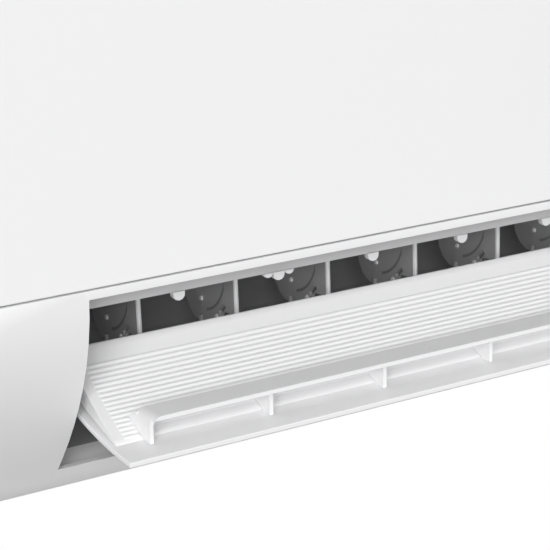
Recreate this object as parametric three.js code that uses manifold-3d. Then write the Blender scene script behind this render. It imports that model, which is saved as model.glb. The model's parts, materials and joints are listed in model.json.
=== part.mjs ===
// Indoor unit of a mini split air conditioner, hung on a wall.
// Millimetres, +Z up. The wall is the plane Y = 0 and the room lies towards -Y.
// Sections are drawn as [depth, height]: depth runs back from the front face of the panel,
// and height runs up from the seam between the front panel and the lower casing.

import * as THREE from "three";
import { mergeVertices } from "three/addons/utils/BufferGeometryUtils.js";
import Module from "manifold-3d";

const manifoldLibrary = await Module();
manifoldLibrary.setup();

// ---------------------------------------------------------------- driving dimensions

const UNIT_WIDTH = 800;
const UNIT_DEPTH = 200;
const HEIGHT_ABOVE_SEAM = 178;
const HEIGHT_BELOW_SEAM = 112;
const WALL_PLATE_CENTRE_HEIGHT = 33; // above the seam
const SIDE_MARGIN = 50; // from the casing's side to the outlet
const ELECTRICS_WIDTH = 116; // from the casing's side to the left of the electrics

const SKIN = 2.4; // wall of the white mouldings
const SEAT_GAP = 0.3; // between pieces that touch
const RUNNING_GAP = 0.35; // round a pin in its hole
const ROUND_SIDES = 16;
const PIN_SIDES = 8;

const CASING_CORNER = 12; // plan radius of the casing's front corners
const CASING_TOP_RADIUS = 14;
const CASING_FRONT_SETBACK = 8; // front wall of the casing behind the panel face
const RIM_HEIGHT = 3.4;
const SEAM = 1.4; // open gap under the panel

const PANEL_SKIN = 3;
const PANEL_TOP_DROP = 3; // panel's top edge below the casing's top
const PANEL_FLANGE = 6;
const PANEL_SIDE_GAP = 1;
const PANEL_HINGE_DEPTH = 13;
const PANEL_HINGE_DROP = 6; // hinge line below the panel's top edge
const PANEL_PIN_RADIUS = 2;

const VANE_COUNT = 13;
const VANE_FRONT_DEPTH = 62;
const VANE_CHORD = 53;
const VANE_THICKNESS = 1.6;
const VANE_NOSE_RADIUS = 1.15;
const VANE_TOP = -18.4;
const VANE_FRONT_BOTTOM = -46;
const VANE_BOTTOM = -58.5;
const VANE_PIVOT_DEPTH = 82;
const VANE_CRANK = 16;
const VANE_PIN_RADIUS = 1.8;
const VANE_STUD_RADIUS = 1.1;
const VANE_STUD_HEIGHT = 1;

const LINK_WIDTH = 7;
const LINK_THICKNESS = 2.4;

const FLAP_END_GAP = 3.5; // from the outlet's side to the flap's skin
const FLAP_GUIDE_INSET = 2.5; // guide's end in from the skin's end
const FLAP_SKIN = 2.3;
const FLAP_CHORD = 97.7;
const FLAP_SAGITTA = 5.3;
const FLAP_OPEN_TILT = 11.6; // degrees, front edge down
const FLAP_TIP_DEPTH = -21.7;
const FLAP_TIP_HEIGHT = -70;
const FLAP_PIN_RADIUS = 3;

const RIB_PITCH = 2.6;
const RIB_COUNT = 17;
const RIB_HEIGHT = 0.75;
const RIB_END_MARGIN = 5;

const FIN_INSET = 18.5; // from the outlet's side to the fin's end wall
const FIN_WALL = 1.8;
const FIN_CORNER = 5;
const FIN_WEB_COUNT = 5; // webs set out from each end
const FIN_CENTRE_BAY = 83; // between the two innermost webs

const FRAME_FRONT_DEPTH = 29;
const FRAME_WALL = 2.5;
const FRAME_LOWER_EDGE = -17;
const FRAME_END_GAP = 3.7; // from the outlet's side to the frame's end wall
const LUG_OFFSET = 4; // from each vane to its lug
const LUG_RADIUS = 2.9;
const LUG_DROP = 2.6;

const FAN_RADIUS = 42;
const FAN_DEPTH = 128;
const FAN_HEIGHT = 34;
const FAN_MARGIN = 28; // from the outlet's side to the fan's left end
const FAN_TO_ELECTRICS = 22;
const FAN_BLADES = 16;
const FAN_BLADE_CHORD = 12;
const FAN_BLADE_THICKNESS = 1.4;
const FAN_DISC = 2.5;
const FAN_SECTIONS = 4;
const FAN_SHAFT_RADIUS = 4;
const FAN_SHAFT_LENGTH = 14;
const FAN_HUB_RADIUS = 11;
const FAN_HUB_LENGTH = 5;

const FAN_MOTOR_RADIUS = 27;
const SADDLE_HALF = 33; // half depth of the motor's saddle
const FAN_MOTOR_LENGTH = 58;

const COIL_THICKNESS = 24;
const COIL_MARGIN = 24; // from the outlet's side to the coil's left end
const COIL_TO_ELECTRICS = 18;
const COIL_FIN_PITCH = 36;
const COIL_FIN_GROOVE = 1.2;
const COIL_TUBE_RADIUS = 3.5;

const CHASSIS_WALL = 2.6;

const FILTER_THICKNESS = 5;
const FILTER_BAR = 3;
const FILTER_COLUMNS = 7;
const FILTER_ROWS = 3;
const FILTER_BAR_DROP = 1.5; // inner bars below the filter's rim

// ---------------------------------------------------------------- values worked out from them

const HALF_WIDTH = UNIT_WIDTH / 2;
const HALF_OUTLET = HALF_WIDTH - SIDE_MARGIN;
const BOTTOM = -HEIGHT_BELOW_SEAM;
const TOP = HEIGHT_ABOVE_SEAM;
const PLATE_THICKNESS = 1.6;
const REAR = UNIT_DEPTH - PLATE_THICKNESS - SEAT_GAP;
const FLAP_HALF = HALF_OUTLET - FLAP_END_GAP;
const GUIDE_HALF = FLAP_HALF - FLAP_GUIDE_INSET;
const FIN_HALF = HALF_OUTLET - FIN_INSET;
const FRAME_HALF = HALF_OUTLET - FRAME_END_GAP;
const VANE_PITCH = (2 * HALF_OUTLET) / (VANE_COUNT + 1);
const FIRST_VANE_X = -HALF_OUTLET + VANE_PITCH;
const LAST_VANE_X = HALF_OUTLET - VANE_PITCH;
const FIN_WEB_PITCH = (FIN_HALF - FIN_CENTRE_BAY / 2) / FIN_WEB_COUNT;
const ELECTRICS_LEFT = HALF_WIDTH - ELECTRICS_WIDTH;
const FAN_LEFT = -HALF_OUTLET + FAN_MARGIN;
const FAN_RIGHT = ELECTRICS_LEFT - FAN_TO_ELECTRICS;
const COIL_LEFT = -HALF_OUTLET + COIL_MARGIN;
const COIL_RIGHT = ELECTRICS_LEFT - COIL_TO_ELECTRICS;
const RAD = Math.PI / 180;

// ---------------------------------------------------------------- geometry helpers

// Turns a closed geometry into a solid that can be joined and cut.
function solid(geometry) {
  const bare = geometry.clone();
  bare.deleteAttribute("normal");
  bare.deleteAttribute("uv");
  const merged = mergeVertices(bare, 1e-4);
  const mesh = new manifoldLibrary.Mesh({
    numProp: 3,
    vertProperties: new Float32Array(merged.attributes.position.array),
    triVerts: new Uint32Array(merged.index.array),
  });
  return new manifoldLibrary.Manifold(mesh);
}

function geometryOf(body) {
  const mesh = body.getMesh();
  const geometry = new THREE.BufferGeometry();
  geometry.setAttribute("position", new THREE.BufferAttribute(mesh.vertProperties, 3));
  geometry.setIndex(new THREE.BufferAttribute(mesh.triVerts, 1));
  return geometry;
}

function join(...geometries) {
  return geometries.map(solid).reduce((whole, next) => whole.add(next));
}

function cut(body, ...geometries) {
  return geometries.map(solid).reduce((rest, next) => rest.subtract(next), body);
}

function shapeOf(points) {
  return new THREE.Shape(points.map(([x, y]) => new THREE.Vector2(x, y)));
}

function extrude(shape, depth) {
  return new THREE.ExtrudeGeometry(shape, { depth, bevelEnabled: false, curveSegments: 6 });
}

// A section of [depth, height] points, drawn out along X.
function alongX(points, x0, x1) {
  const basis = new THREE.Matrix4().set(0, 0, 1, x0, 1, 0, 0, 0, 0, 1, 0, 0, 0, 0, 0, 1);
  return extrude(shapeOf(points), x1 - x0).applyMatrix4(basis);
}

// A section of [x, height] points, drawn out from depth y0 to y1.
function alongY(points, y0, y1) {
  const basis = new THREE.Matrix4().set(1, 0, 0, 0, 0, 0, -1, y1, 0, 1, 0, 0, 0, 0, 0, 1);
  return extrude(shapeOf(points), y1 - y0).applyMatrix4(basis);
}

// A section of [x, depth] points, drawn out from height z0 to z1.
function alongZ(points, z0, z1) {
  return extrude(shapeOf(points), z1 - z0).translate(0, 0, z0);
}

function box(x0, x1, y0, y1, z0, z1) {
  const block = new THREE.BoxGeometry(x1 - x0, y1 - y0, z1 - z0);
  return block.translate((x0 + x1) / 2, (y0 + y1) / 2, (z0 + z1) / 2);
}

function rodX(radius, x0, x1, depth, height, sides = ROUND_SIDES) {
  const rod = new THREE.CylinderGeometry(radius, radius, x1 - x0, sides).rotateZ(Math.PI / 2);
  return rod.translate((x0 + x1) / 2, depth, height);
}

function rodY(radius, y0, y1, x, height, sides = ROUND_SIDES) {
  const rod = new THREE.CylinderGeometry(radius, radius, y1 - y0, sides);
  return rod.translate(x, (y0 + y1) / 2, height);
}

function rodZ(radius, z0, z1, x, depth, sides = ROUND_SIDES) {
  const rod = new THREE.CylinderGeometry(radius, radius, z1 - z0, sides).rotateX(Math.PI / 2);
  return rod.translate(x, depth, (z0 + z1) / 2);
}

function bezier(p0, p1, p2, p3, steps) {
  const curve = new THREE.CubicBezierCurve(
    new THREE.Vector2(...p0), new THREE.Vector2(...p1), new THREE.Vector2(...p2), new THREE.Vector2(...p3));
  return curve.getSpacedPoints(steps).map((point) => [point.x, point.y]);
}

// Points on a round corner about a centre, from one angle to another in degrees.
function corner(centre, radius, from, to, steps) {
  return Array.from({ length: steps + 1 }, (_, i) => {
    const angle = (from + ((to - from) * i) / steps) * RAD;
    return [centre[0] + radius * Math.cos(angle), centre[1] + radius * Math.sin(angle)];
  });
}

// Moves an open line of points sideways, to the left of its direction.
function offset(points, distance) {
  return points.map((point, i) => {
    const before = points[Math.max(i - 1, 0)];
    const after = points[Math.min(i + 1, points.length - 1)];
    const run = [after[0] - before[0], after[1] - before[1]];
    const length = Math.hypot(...run);
    return [point[0] - (run[1] / length) * distance, point[1] + (run[0] / length) * distance];
  });
}

// A sheet of even thickness that follows a line of points.
function strip(points, thickness) {
  return [...points, ...offset(points, thickness).reverse()];
}

function mirrored(points) {
  return points.map(([x, y]) => [-x, y]).reverse();
}

// ---------------------------------------------------------------- materials

const whitePlastic = () => new THREE.MeshStandardMaterial({ color: 0xeeeeee, roughness: 0.45, metalness: 0 });
const greyPlastic = () => new THREE.MeshStandardMaterial({ color: 0x77777a, roughness: 0.55, metalness: 0 });
const darkPlastic = () => new THREE.MeshStandardMaterial({ color: 0x2b2b2d, roughness: 0.6, metalness: 0 });
const frameGrey = () => new THREE.MeshStandardMaterial({ color: 0x9a9a9c, roughness: 0.55, metalness: 0 });
const zinc = () => new THREE.MeshStandardMaterial({ color: 0xb4b6b8, roughness: 0.35, metalness: 1 });
const aluminium = () => new THREE.MeshStandardMaterial({ color: 0xc9ccd0, roughness: 0.3, metalness: 1 });
const copper = () => new THREE.MeshStandardMaterial({ color: 0xb5673c, roughness: 0.3, metalness: 1 });
const brass = () => new THREE.MeshStandardMaterial({ color: 0xc2a14d, roughness: 0.3, metalness: 1 });
const boardGreen = () => new THREE.MeshStandardMaterial({ color: 0x2d6b3a, roughness: 0.5, metalness: 0 });
const rubber = () => new THREE.MeshStandardMaterial({ color: 0x1c1c1c, roughness: 0.8, metalness: 0 });

const unit = new THREE.Group();

function add(name, shape, material) {
  const geometry = shape.isBufferGeometry ? shape : geometryOf(shape);
  const mesh = new THREE.Mesh(geometry, material);
  mesh.name = name;
  unit.add(mesh);
}

// ---------------------------------------------------------------- casing sections

const LIP_EDGE = [49, BOTTOM + 17.3];
const cheekCurve = (steps) => bezier([0, 0], [1.5, -32], [20, -62], LIP_EDGE, steps);
const lipCurve = (steps) => bezier(LIP_EDGE, [53.5, BOTTOM + 12.2], [60, BOTTOM], [74, BOTTOM], steps);
const SHELF_HEIGHT = 0.4; // top of the shelf under the panel

// The casing steps back above the seam, where the panel covers it up to its top.
function casingOutline(inset) {
  const round = CASING_TOP_RADIUS;
  const front = [...cheekCurve(9), ...lipCurve(5).slice(1)];
  const lower = inset ? offset(front, inset) : front;
  lower[0] = [inset, SHELF_HEIGHT - inset];
  lower[lower.length - 1][1] = BOTTOM + inset;
  return [
    ...lower,
    [REAR, BOTTOM + inset],
    [REAR, TOP - inset],
    ...corner([CASING_FRONT_SETBACK + round, TOP - round], round - inset, 90, 180, 4),
    [CASING_FRONT_SETBACK + inset, SHELF_HEIGHT - inset],
  ];
}

// Plan of the casing: square at the wall, rounded at the two front corners.
function casingPlan(inset) {
  const half = HALF_WIDTH - inset;
  const round = CASING_CORNER - inset;
  const left = corner([-HALF_WIDTH + CASING_CORNER, CASING_CORNER], round, 180, 270, 4);
  return [[half, REAR + inset], [-half, REAR + inset], ...left, ...mirrored(left)];
}

function casingShell() {
  const outer = solid(alongX(casingOutline(0), -HALF_WIDTH, HALF_WIDTH))
    .intersect(solid(alongZ(casingPlan(0), BOTTOM, TOP)));
  const hollow = casingOutline(SKIN);
  const inner = solid(alongX(hollow, -HALF_WIDTH + SKIN, HALF_WIDTH - SKIN))
    .add(solid(box(-HALF_WIDTH + SKIN, HALF_WIDTH - SKIN, REAR - SKIN, REAR + SKIN, BOTTOM + SKIN,
        TOP - SKIN)))
    .intersect(solid(alongZ(casingPlan(SKIN), BOTTOM, TOP)));
  return outer.subtract(inner);
}

const RIM_DEPTH = 0.5; // rim's front face behind the panel face

// Opening of the outlet as seen in section: below the rim, above the lip, right through to the fan.
const mouthSection = [
  [-5, -RIM_HEIGHT], [RIM_DEPTH + SKIN, -RIM_HEIGHT], [RIM_DEPTH + SKIN, -1.6], [120, -1.6],
  [120, LIP_EDGE[1] + 6], [LIP_EDGE[0] + 1.2, LIP_EDGE[1] + 0.4], [LIP_EDGE[0] - 6, LIP_EDGE[1] + 0.4],
      [-5, LIP_EDGE[1] + 0.4],
];

const FILTER_MARGIN = 12;
const FILTER_FRONT = 40;
const FILTER_REAR = UNIT_DEPTH - 22;
const FILTER_CENTRE_BAR = 10;
const FILTER_LEDGE = 5;
const FILTER_SIDE_GAP = 0.8;
const WINDOW_BOTTOM = 22;
const WINDOW_TOP = TOP - 32;
const WINDOW_COUNT = 3;
const PANEL_BOTTOM = SEAM + 0.4;
const PANEL_TOP = TOP - PANEL_TOP_DROP;
const PANEL_HINGE_HEIGHT = PANEL_TOP - PANEL_HINGE_DROP;
const PANEL_EAR_X = HALF_WIDTH - 24;
const PANEL_EAR_THICKNESS = 3;
const BUTTON_X = HALF_WIDTH - 60;
const BUTTON_HEIGHT = 24;
const BUTTON_RADIUS = 4;
const WINDOW_MARGIN = 30; // from the casing's left side to the first window
const WINDOW_BAR = 8;
const WINDOW_TO_ELECTRICS = 16;
const EAR_SLOT_HALF = PANEL_EAR_THICKNESS / 2 + 0.9;
const EAR_SLOT_DROP = 9; // bottom of the ear slot below the hinge line
const LUG_THICKNESS = 3;

function frontCasing() {
  let body = casingShell();
  // air windows in the front wall, with upright bars left between them
  const windowRight = ELECTRICS_LEFT - WINDOW_TO_ELECTRICS;
  const windowPitch = (windowRight + HALF_WIDTH - WINDOW_MARGIN) / WINDOW_COUNT;
  for (let i = 0; i < WINDOW_COUNT; i += 1) {
    const x0 = -HALF_WIDTH + WINDOW_MARGIN + i * windowPitch;
    body = cut(body, box(x0, x0 + windowPitch - WINDOW_BAR, 2, 20, WINDOW_BOTTOM, WINDOW_TOP));
  }
  // two filter bays in the top, with a ledge for each filter
  for (const side of [-1, 1]) {
    const inner = side * FILTER_CENTRE_BAR;
    const outer = side * (HALF_WIDTH - FILTER_MARGIN);
    const [x0, x1] = inner < outer ? [inner, outer] : [outer, inner];
    const ledge = FILTER_LEDGE;
    body = body.add(solid(box(x0 - SKIN, x1 + SKIN, FILTER_FRONT - SKIN, FILTER_REAR + SKIN, TOP - 8,
        TOP - 1)));
    body = cut(body, box(x0, x1, FILTER_FRONT, FILTER_REAR, TOP - FILTER_THICKNESS - SEAT_GAP, TOP + 1),
      box(x0 + ledge, x1 - ledge, FILTER_FRONT + ledge, FILTER_REAR - ledge, TOP - 9, TOP));
  }
  // mouth of the outlet, then its two side walls
  body = cut(body, alongX(mouthSection, -HALF_OUTLET, HALF_OUTLET));
  const jamb = [...cheekCurve(9).map(([y, z]) => [y + 0.02, z]), [LIP_EDGE[0] + 40, LIP_EDGE[1]],
      [118, -70], [118, -2]];
  for (const side of [-1, 1]) {
    const x0 = side < 0 ? -HALF_OUTLET - SKIN : HALF_OUTLET;
    body = body.add(solid(alongX(jamb, x0, x0 + SKIN)));
    body = cut(body, rodX(FLAP_PIN_RADIUS + RUNNING_GAP, x0 - 1, x0 + SKIN + 1, ...FLAP_PIVOT));
  }
  body = cut(body, rodY(BUTTON_RADIUS + RUNNING_GAP, 2, 20, BUTTON_X, BUTTON_HEIGHT));
  // the panel's two ears reach through slots to lugs behind the wall
  for (const side of [-1, 1]) {
    const ear = side * PANEL_EAR_X;
    const lugX = ear + side * (PANEL_EAR_THICKNESS / 2 + SEAT_GAP);
    const lugEnd = lugX + side * LUG_THICKNESS;
    const slotBottom = PANEL_HINGE_HEIGHT - EAR_SLOT_DROP;
    const lugBox = box(Math.min(lugX, lugEnd), Math.max(lugX, lugEnd), CASING_FRONT_SETBACK + 1,
      PANEL_HINGE_DEPTH + LUG_THICKNESS * 2, slotBottom, PANEL_HINGE_HEIGHT + LUG_THICKNESS);
    body = cut(body, box(ear - EAR_SLOT_HALF, ear + EAR_SLOT_HALF, 2, 30, slotBottom, TOP + 1));
    const bore = rodX(PANEL_PIN_RADIUS + RUNNING_GAP, lugX - 6, lugX + 6, PANEL_HINGE_DEPTH,
        PANEL_HINGE_HEIGHT, 12);
    body = cut(body.add(solid(lugBox)), bore);
  }
  return body;
}

// ---------------------------------------------------------------- flap

const flapTip = [FLAP_TIP_DEPTH, FLAP_TIP_HEIGHT];
const flapTail = [
  flapTip[0] + FLAP_CHORD * Math.cos(FLAP_OPEN_TILT * RAD),
  flapTip[1] + FLAP_CHORD * Math.sin(FLAP_OPEN_TILT * RAD),
];
const FLAP_PIVOT = [33, -54.6];

// Arc between two points that sinks below their chord by the sagitta.
function sunkArc(from, to, sagitta, steps) {
  return Array.from({ length: steps + 1 }, (_, i) => {
    const t = i / steps;
    const sink = 4 * sagitta * t * (1 - t);
    const run = [to[0] - from[0], to[1] - from[1]];
    const length = Math.hypot(...run);
    return [
      from[0] + run[0] * t + (run[1] / length) * sink,
      from[1] + run[1] * t - (run[0] / length) * sink,
    ];
  });
}

const skinUnderside = sunkArc(flapTip, flapTail, FLAP_SAGITTA, 14);
const skinInside = offset(skinUnderside, FLAP_SKIN);

// Height of the skin's inner face at a given depth.
function skinInsideAt(depth) {
  const i = skinInside.findIndex((point) => point[0] > depth);
  const [a, b] = [skinInside[i - 1], skinInside[i]];
  return a[1] + ((b[1] - a[1]) * (depth - a[0])) / (b[0] - a[0]);
}

const guideFace = bezier([-2.4, -66.2], [12.9, -59.9], [31.1, -50.4], [42, -38.7], 60);
const GUIDE_REAR = 66;

function guideSection(ribbed) {
  const face = ribbed ? ribbedFace() : guideFace.filter((_, i) => i % 6 === 0);
  const crest = [[43.6, -37.9], [45.4, -38.6], [56, -46.6]];
  const foot = [];
  for (let depth = GUIDE_REAR; depth > 1; depth -= 8) {
    foot.push([depth, skinInsideAt(depth) + SEAT_GAP]);
  }
  foot.push([-3.2, skinInsideAt(-3.2) + SEAT_GAP]);
  return [...face, ...crest, ...foot];
}

function ribbedFace() {
  const lengths = [0];
  for (let i = 1; i < guideFace.length; i += 1) {
    lengths.push(lengths[i - 1] + Math.hypot(guideFace[i][0] - guideFace[i - 1][0],
        guideFace[i][1] - guideFace[i - 1][1]));
  }
  const at = (distance, lift) => {
    const i = Math.max(1, lengths.findIndex((length) => length >= distance));
    const t = (distance - lengths[i - 1]) / (lengths[i] - lengths[i - 1]);
    const [a, b] = [guideFace[i - 1], guideFace[i]];
    const run = [b[0] - a[0], b[1] - a[1]];
    const size = Math.hypot(...run);
    return [a[0] + run[0] * t - (run[1] / size) * lift, a[1] + run[1] * t + (run[0] / size) * lift];
  };
  const points = [guideFace[0]];
  for (let i = 0; i < RIB_COUNT; i += 1) {
    const start = 1 + i * RIB_PITCH;
    points.push(at(start, 0), at(start + RIB_PITCH * 0.25, RIB_HEIGHT),
        at(start + RIB_PITCH * 0.65, RIB_HEIGHT));
  }
  points.push(at(1 + RIB_COUNT * RIB_PITCH, 0), guideFace[guideFace.length - 1]);
  return points;
}

function flapGuide() {
  const plain = alongX(guideSection(false), -GUIDE_HALF, GUIDE_HALF);
  const ribs = alongX(guideSection(true), -GUIDE_HALF + RIB_END_MARGIN, GUIDE_HALF - RIB_END_MARGIN);
  const pinEnd = HALF_OUTLET + SKIN - 0.4;
  const pins = [-1, 1].map((side) => rodX(FLAP_PIN_RADIUS,
    Math.min(side * pinEnd, side * (GUIDE_HALF - 4)), Math.max(side * pinEnd, side * (GUIDE_HALF - 4)),
        ...FLAP_PIVOT));
  const underFin = alongX([[-10, -80], [FIN_REAR_FOOT, -80], [FIN_REAR_FOOT, -40], [-10, -40]],
    -FIN_HALF, FIN_HALF);
  return join(geometryOf(cut(solid(ribs), underFin)), plain, ...pins);
}

function flapSkin() {
  return alongX([...skinUnderside, ...skinInside.slice().reverse()], -FLAP_HALF, FLAP_HALF);
}

const FIN_LIP = [-13, -54.3];
const FIN_BACK = [4.4, -55.5];
const FIN_FRONT_FOOT = -9.6;
const FIN_REAR_FOOT = 9.6;

// Height of the flap's upper face at a given depth, on the ribbed guide or in front of it.
function flapFaceAt(depth) {
  const i = guideFace.findIndex((point) => point[0] > depth);
  if (i < 1) return skinInsideAt(depth);
  const [a, b] = [guideFace[i - 1], guideFace[i]];
  return a[1] + ((b[1] - a[1]) * (depth - a[0])) / (b[0] - a[0]);
}

function flapFin() {
  const base = -80;
  const top = FIN_LIP[1];
  const outline = [[-FIN_HALF, base], ...corner([-FIN_HALF + FIN_CORNER, top - FIN_CORNER], FIN_CORNER, 180,
      90, 4)];
  const outside = [...outline, ...mirrored(outline)];
  const bays = [];
  for (let i = 0; i < FIN_WEB_COUNT; i += 1) {
    const left = -FIN_HALF + i * FIN_WEB_PITCH + (i === 0 ? FIN_WALL : FIN_WALL / 2);
    const right = -FIN_HALF + (i + 1) * FIN_WEB_PITCH - FIN_WALL / 2;
    const inner = i === 0 ? FIN_CORNER - FIN_WALL : 1.2;
    const bay = [[left, base - 1], ...corner([left + inner, top - FIN_WALL - inner], inner, 180, 90, 3),
      [right, top - FIN_WALL], [right, base - 1]];
    bays.push(bay, mirrored(bay));
  }
  const centre = -FIN_HALF + FIN_WEB_COUNT * FIN_WEB_PITCH + FIN_WALL / 2;
  bays.push([[centre, base - 1], [centre, top - FIN_WALL], [-centre, top - FIN_WALL], [-centre, base - 1]]);
  const slope = Math.atan2(FIN_BACK[1] - FIN_LIP[1], FIN_BACK[0] - FIN_LIP[0]);
  const tilt = (geometry) => geometry.translate(0, -FIN_LIP[0], -top).rotateX(slope).translate(0,
      FIN_LIP[0], top);
  let body = solid(tilt(alongY(outside, FIN_LIP[0] - 20, FIN_REAR_FOOT + 30)));
  // each pocket is open to the front and closed at the back by a wall that curves into the top
  const pocket = [[FIN_LIP[0] - 30, -100], [FIN_REAR_FOOT - FIN_WALL, -100],
      [FIN_REAR_FOOT - FIN_WALL, -63.5],
    ...bezier([FIN_REAR_FOOT - FIN_WALL, -62.5], [FIN_BACK[0] + 1.4, -59], [FIN_BACK[0] - 1, -57],
        [FIN_BACK[0] - 7, -56], 3),
    [FIN_BACK[0] - 7, -40], [FIN_LIP[0] - 30, -40]];
  const pockets = solid(alongX(pocket, -FIN_HALF - 1, FIN_HALF + 1));
  for (const bay of bays) {
    body = body.subtract(solid(tilt(alongY(bay, FIN_LIP[0] - 21, FIN_REAR_FOOT + 31))).intersect(pockets));
  }
  const feet = [];
  const step = guideFace[0][0];
  for (let depth = FIN_REAR_FOOT; depth > step; depth -= 3) {
    feet.push([depth, flapFaceAt(depth) + SEAT_GAP]);
  }
  feet.push([step - 1.1, flapFaceAt(step + 0.2) + SEAT_GAP], [step - 1.2,
      skinInsideAt(step - 1.2) + SEAT_GAP]);
  feet.push([FIN_FRONT_FOOT, skinInsideAt(FIN_FRONT_FOOT) + SEAT_GAP]);
  const side = [[FIN_LIP[0], top + 4], [FIN_BACK[0], top + 4], [FIN_BACK[0], FIN_BACK[1] - FIN_WALL],
    ...feet, [FIN_LIP[0] + 3, top - FIN_WALL - 0.4], [FIN_LIP[0], top - FIN_WALL]];
  return body.intersect(solid(alongX(side, -FIN_HALF - 1, FIN_HALF + 1)));
}

// ---------------------------------------------------------------- outlet frame

const VANE_BOSS_TOP = -6.5;
const SCREW_X = [1, 6, 11].map((i) => FIRST_VANE_X + i * VANE_PITCH + LUG_OFFSET);
const PAN_REAR = FAN_DEPTH - Math.max(FAN_RADIUS - 5.6, SADDLE_HALF + 3.4); // rear lip of the drain pan
const PAN_LIP = 13;
const panFloor = [[FRAME_FRONT_DEPTH + FRAME_WALL, FRAME_LOWER_EDGE], [60, -15.4], [80, -12.5],
  [PAN_REAR - 3.6, -7], [PAN_REAR - 0.6, 5], [PAN_REAR, PAN_LIP]];

function outletFrame() {
  const section = [[FRAME_FRONT_DEPTH, -2.4], [FRAME_FRONT_DEPTH, FRAME_LOWER_EDGE], ...panFloor,
    ...offset(panFloor, FRAME_WALL).slice(1).reverse(),
    [FRAME_FRONT_DEPTH + FRAME_WALL, FRAME_LOWER_EDGE + FRAME_WALL],
        [FRAME_FRONT_DEPTH + FRAME_WALL, PAN_LIP],
    [FRAME_FRONT_DEPTH, PAN_LIP]];
  let body = solid(alongX(section, -FRAME_HALF, FRAME_HALF));
  const endWall = [[FRAME_FRONT_DEPTH, PAN_LIP], [FRAME_FRONT_DEPTH, FRAME_LOWER_EDGE],
      [72, FRAME_LOWER_EDGE],
    [80, -24], [80, -62], [104, -62], [116, -40], [PAN_REAR, -10], [PAN_REAR, PAN_LIP]];
  const panEnd = [[FRAME_FRONT_DEPTH, PAN_LIP], [FRAME_FRONT_DEPTH, FRAME_LOWER_EDGE], ...panFloor.slice(1)];
  for (const x of [-FRAME_HALF, FRAME_HALF - FRAME_WALL]) body = body.add(solid(alongX(endWall, x,
      x + FRAME_WALL)));
  const panEndX = LAST_VANE_X - 24;
  body = body.add(solid(alongX(panEnd, panEndX, panEndX + FRAME_WALL)));
  for (let i = 0; i < VANE_COUNT; i += 1) {
    const x = FIRST_VANE_X + i * VANE_PITCH;
    body = body.add(solid(lug(x + LUG_OFFSET, LUG_RADIUS, LUG_DROP)));
    body = body.add(solid(rodZ(VANE_PIN_RADIUS + FRAME_WALL, -14, VANE_BOSS_TOP, x, VANE_PIVOT_DEPTH,
        PIN_SIDES)));
    const holeTop = i === VANE_COUNT - 1 ? VANE_BOSS_TOP + 1 : VANE_BOSS_TOP - 1.6;
    body = cut(body, rodZ(VANE_PIN_RADIUS + RUNNING_GAP, -20, holeTop, x, VANE_PIVOT_DEPTH, PIN_SIDES));
  }
  for (const x of SCREW_X) {
    for (const side of [-1, 1]) body = body.add(solid(lug(x + side * 8, LUG_RADIUS * 0.8, LUG_DROP * 0.35)));
  }
  return body;
}

// A drop-shaped lug that hangs from the frame's lower edge.
function lug(x, radius, drop) {
  const centre = [x, FRAME_LOWER_EDGE - drop + radius * 0.55];
  const outline = [[x - radius, FRAME_LOWER_EDGE + 3], ...corner(centre, radius, 205, 335, 4),
      [x + radius, FRAME_LOWER_EDGE + 3]];
  return alongY(outline, FRAME_FRONT_DEPTH - 0.9, FRAME_FRONT_DEPTH + FRAME_WALL);
}

// ---------------------------------------------------------------- vanes and their link

function vane(x, pivotTop) {
  const rear = VANE_FRONT_DEPTH + VANE_CHORD;
  const outline = [[VANE_FRONT_DEPTH, VANE_TOP], [VANE_FRONT_DEPTH, VANE_FRONT_BOTTOM],
      [75, VANE_FRONT_BOTTOM - 1],
    ...bezier([80, -54], [84, VANE_BOTTOM], [88, VANE_BOTTOM], [94, VANE_BOTTOM], 3),
    ...bezier([104, VANE_BOTTOM + 1], [112, -55], [rear, -48], [rear, -38], 4), [rear, VANE_TOP - 4],
        [rear - 4, VANE_TOP]];
  const half = VANE_THICKNESS / 2;
  const blade = alongX(outline, x - half, x + half);
  const nose = rodZ(VANE_NOSE_RADIUS, VANE_FRONT_BOTTOM, VANE_TOP, x,
      VANE_FRONT_DEPTH + VANE_NOSE_RADIUS * 0.5, PIN_SIDES);
  const pivot = rodZ(VANE_PIN_RADIUS, VANE_TOP - 3, pivotTop, x, VANE_PIVOT_DEPTH, PIN_SIDES);
  const crank = rodZ(VANE_PIN_RADIUS, VANE_BOTTOM - LINK_THICKNESS - 1.6, VANE_BOTTOM + 4, x,
    VANE_PIVOT_DEPTH + VANE_CRANK, PIN_SIDES);
  const studs = VANE_STUDS.map(([y, z]) => rodX(VANE_STUD_RADIUS, x - half - VANE_STUD_HEIGHT, x, y, z, 6));
  const body = join(blade, nose, pivot, crank, ...studs);
  return cut(body, alongX([[72, -44.6], [78, -49.6], [79.4, -48], [73.4, -43]], x - 2, x + 2));
}

const VANE_STUDS = [[96, -45.7], [81, -51]];

function linkRod() {
  const y = VANE_PIVOT_DEPTH + VANE_CRANK;
  const z0 = VANE_BOTTOM - LINK_THICKNESS - 0.8;
  const bar = box(FIRST_VANE_X - 6, LAST_VANE_X + 6, y - LINK_WIDTH / 2, y + LINK_WIDTH / 2, z0,
      z0 + LINK_THICKNESS);
  let body = solid(bar);
  for (let i = 0; i < VANE_COUNT; i += 1) {
    body = cut(body, rodZ(VANE_PIN_RADIUS + RUNNING_GAP, z0 - 1, z0 + LINK_THICKNESS + 1,
        FIRST_VANE_X + i * VANE_PITCH, y, PIN_SIDES));
  }
  return body;
}

// ---------------------------------------------------------------- front panel

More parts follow.
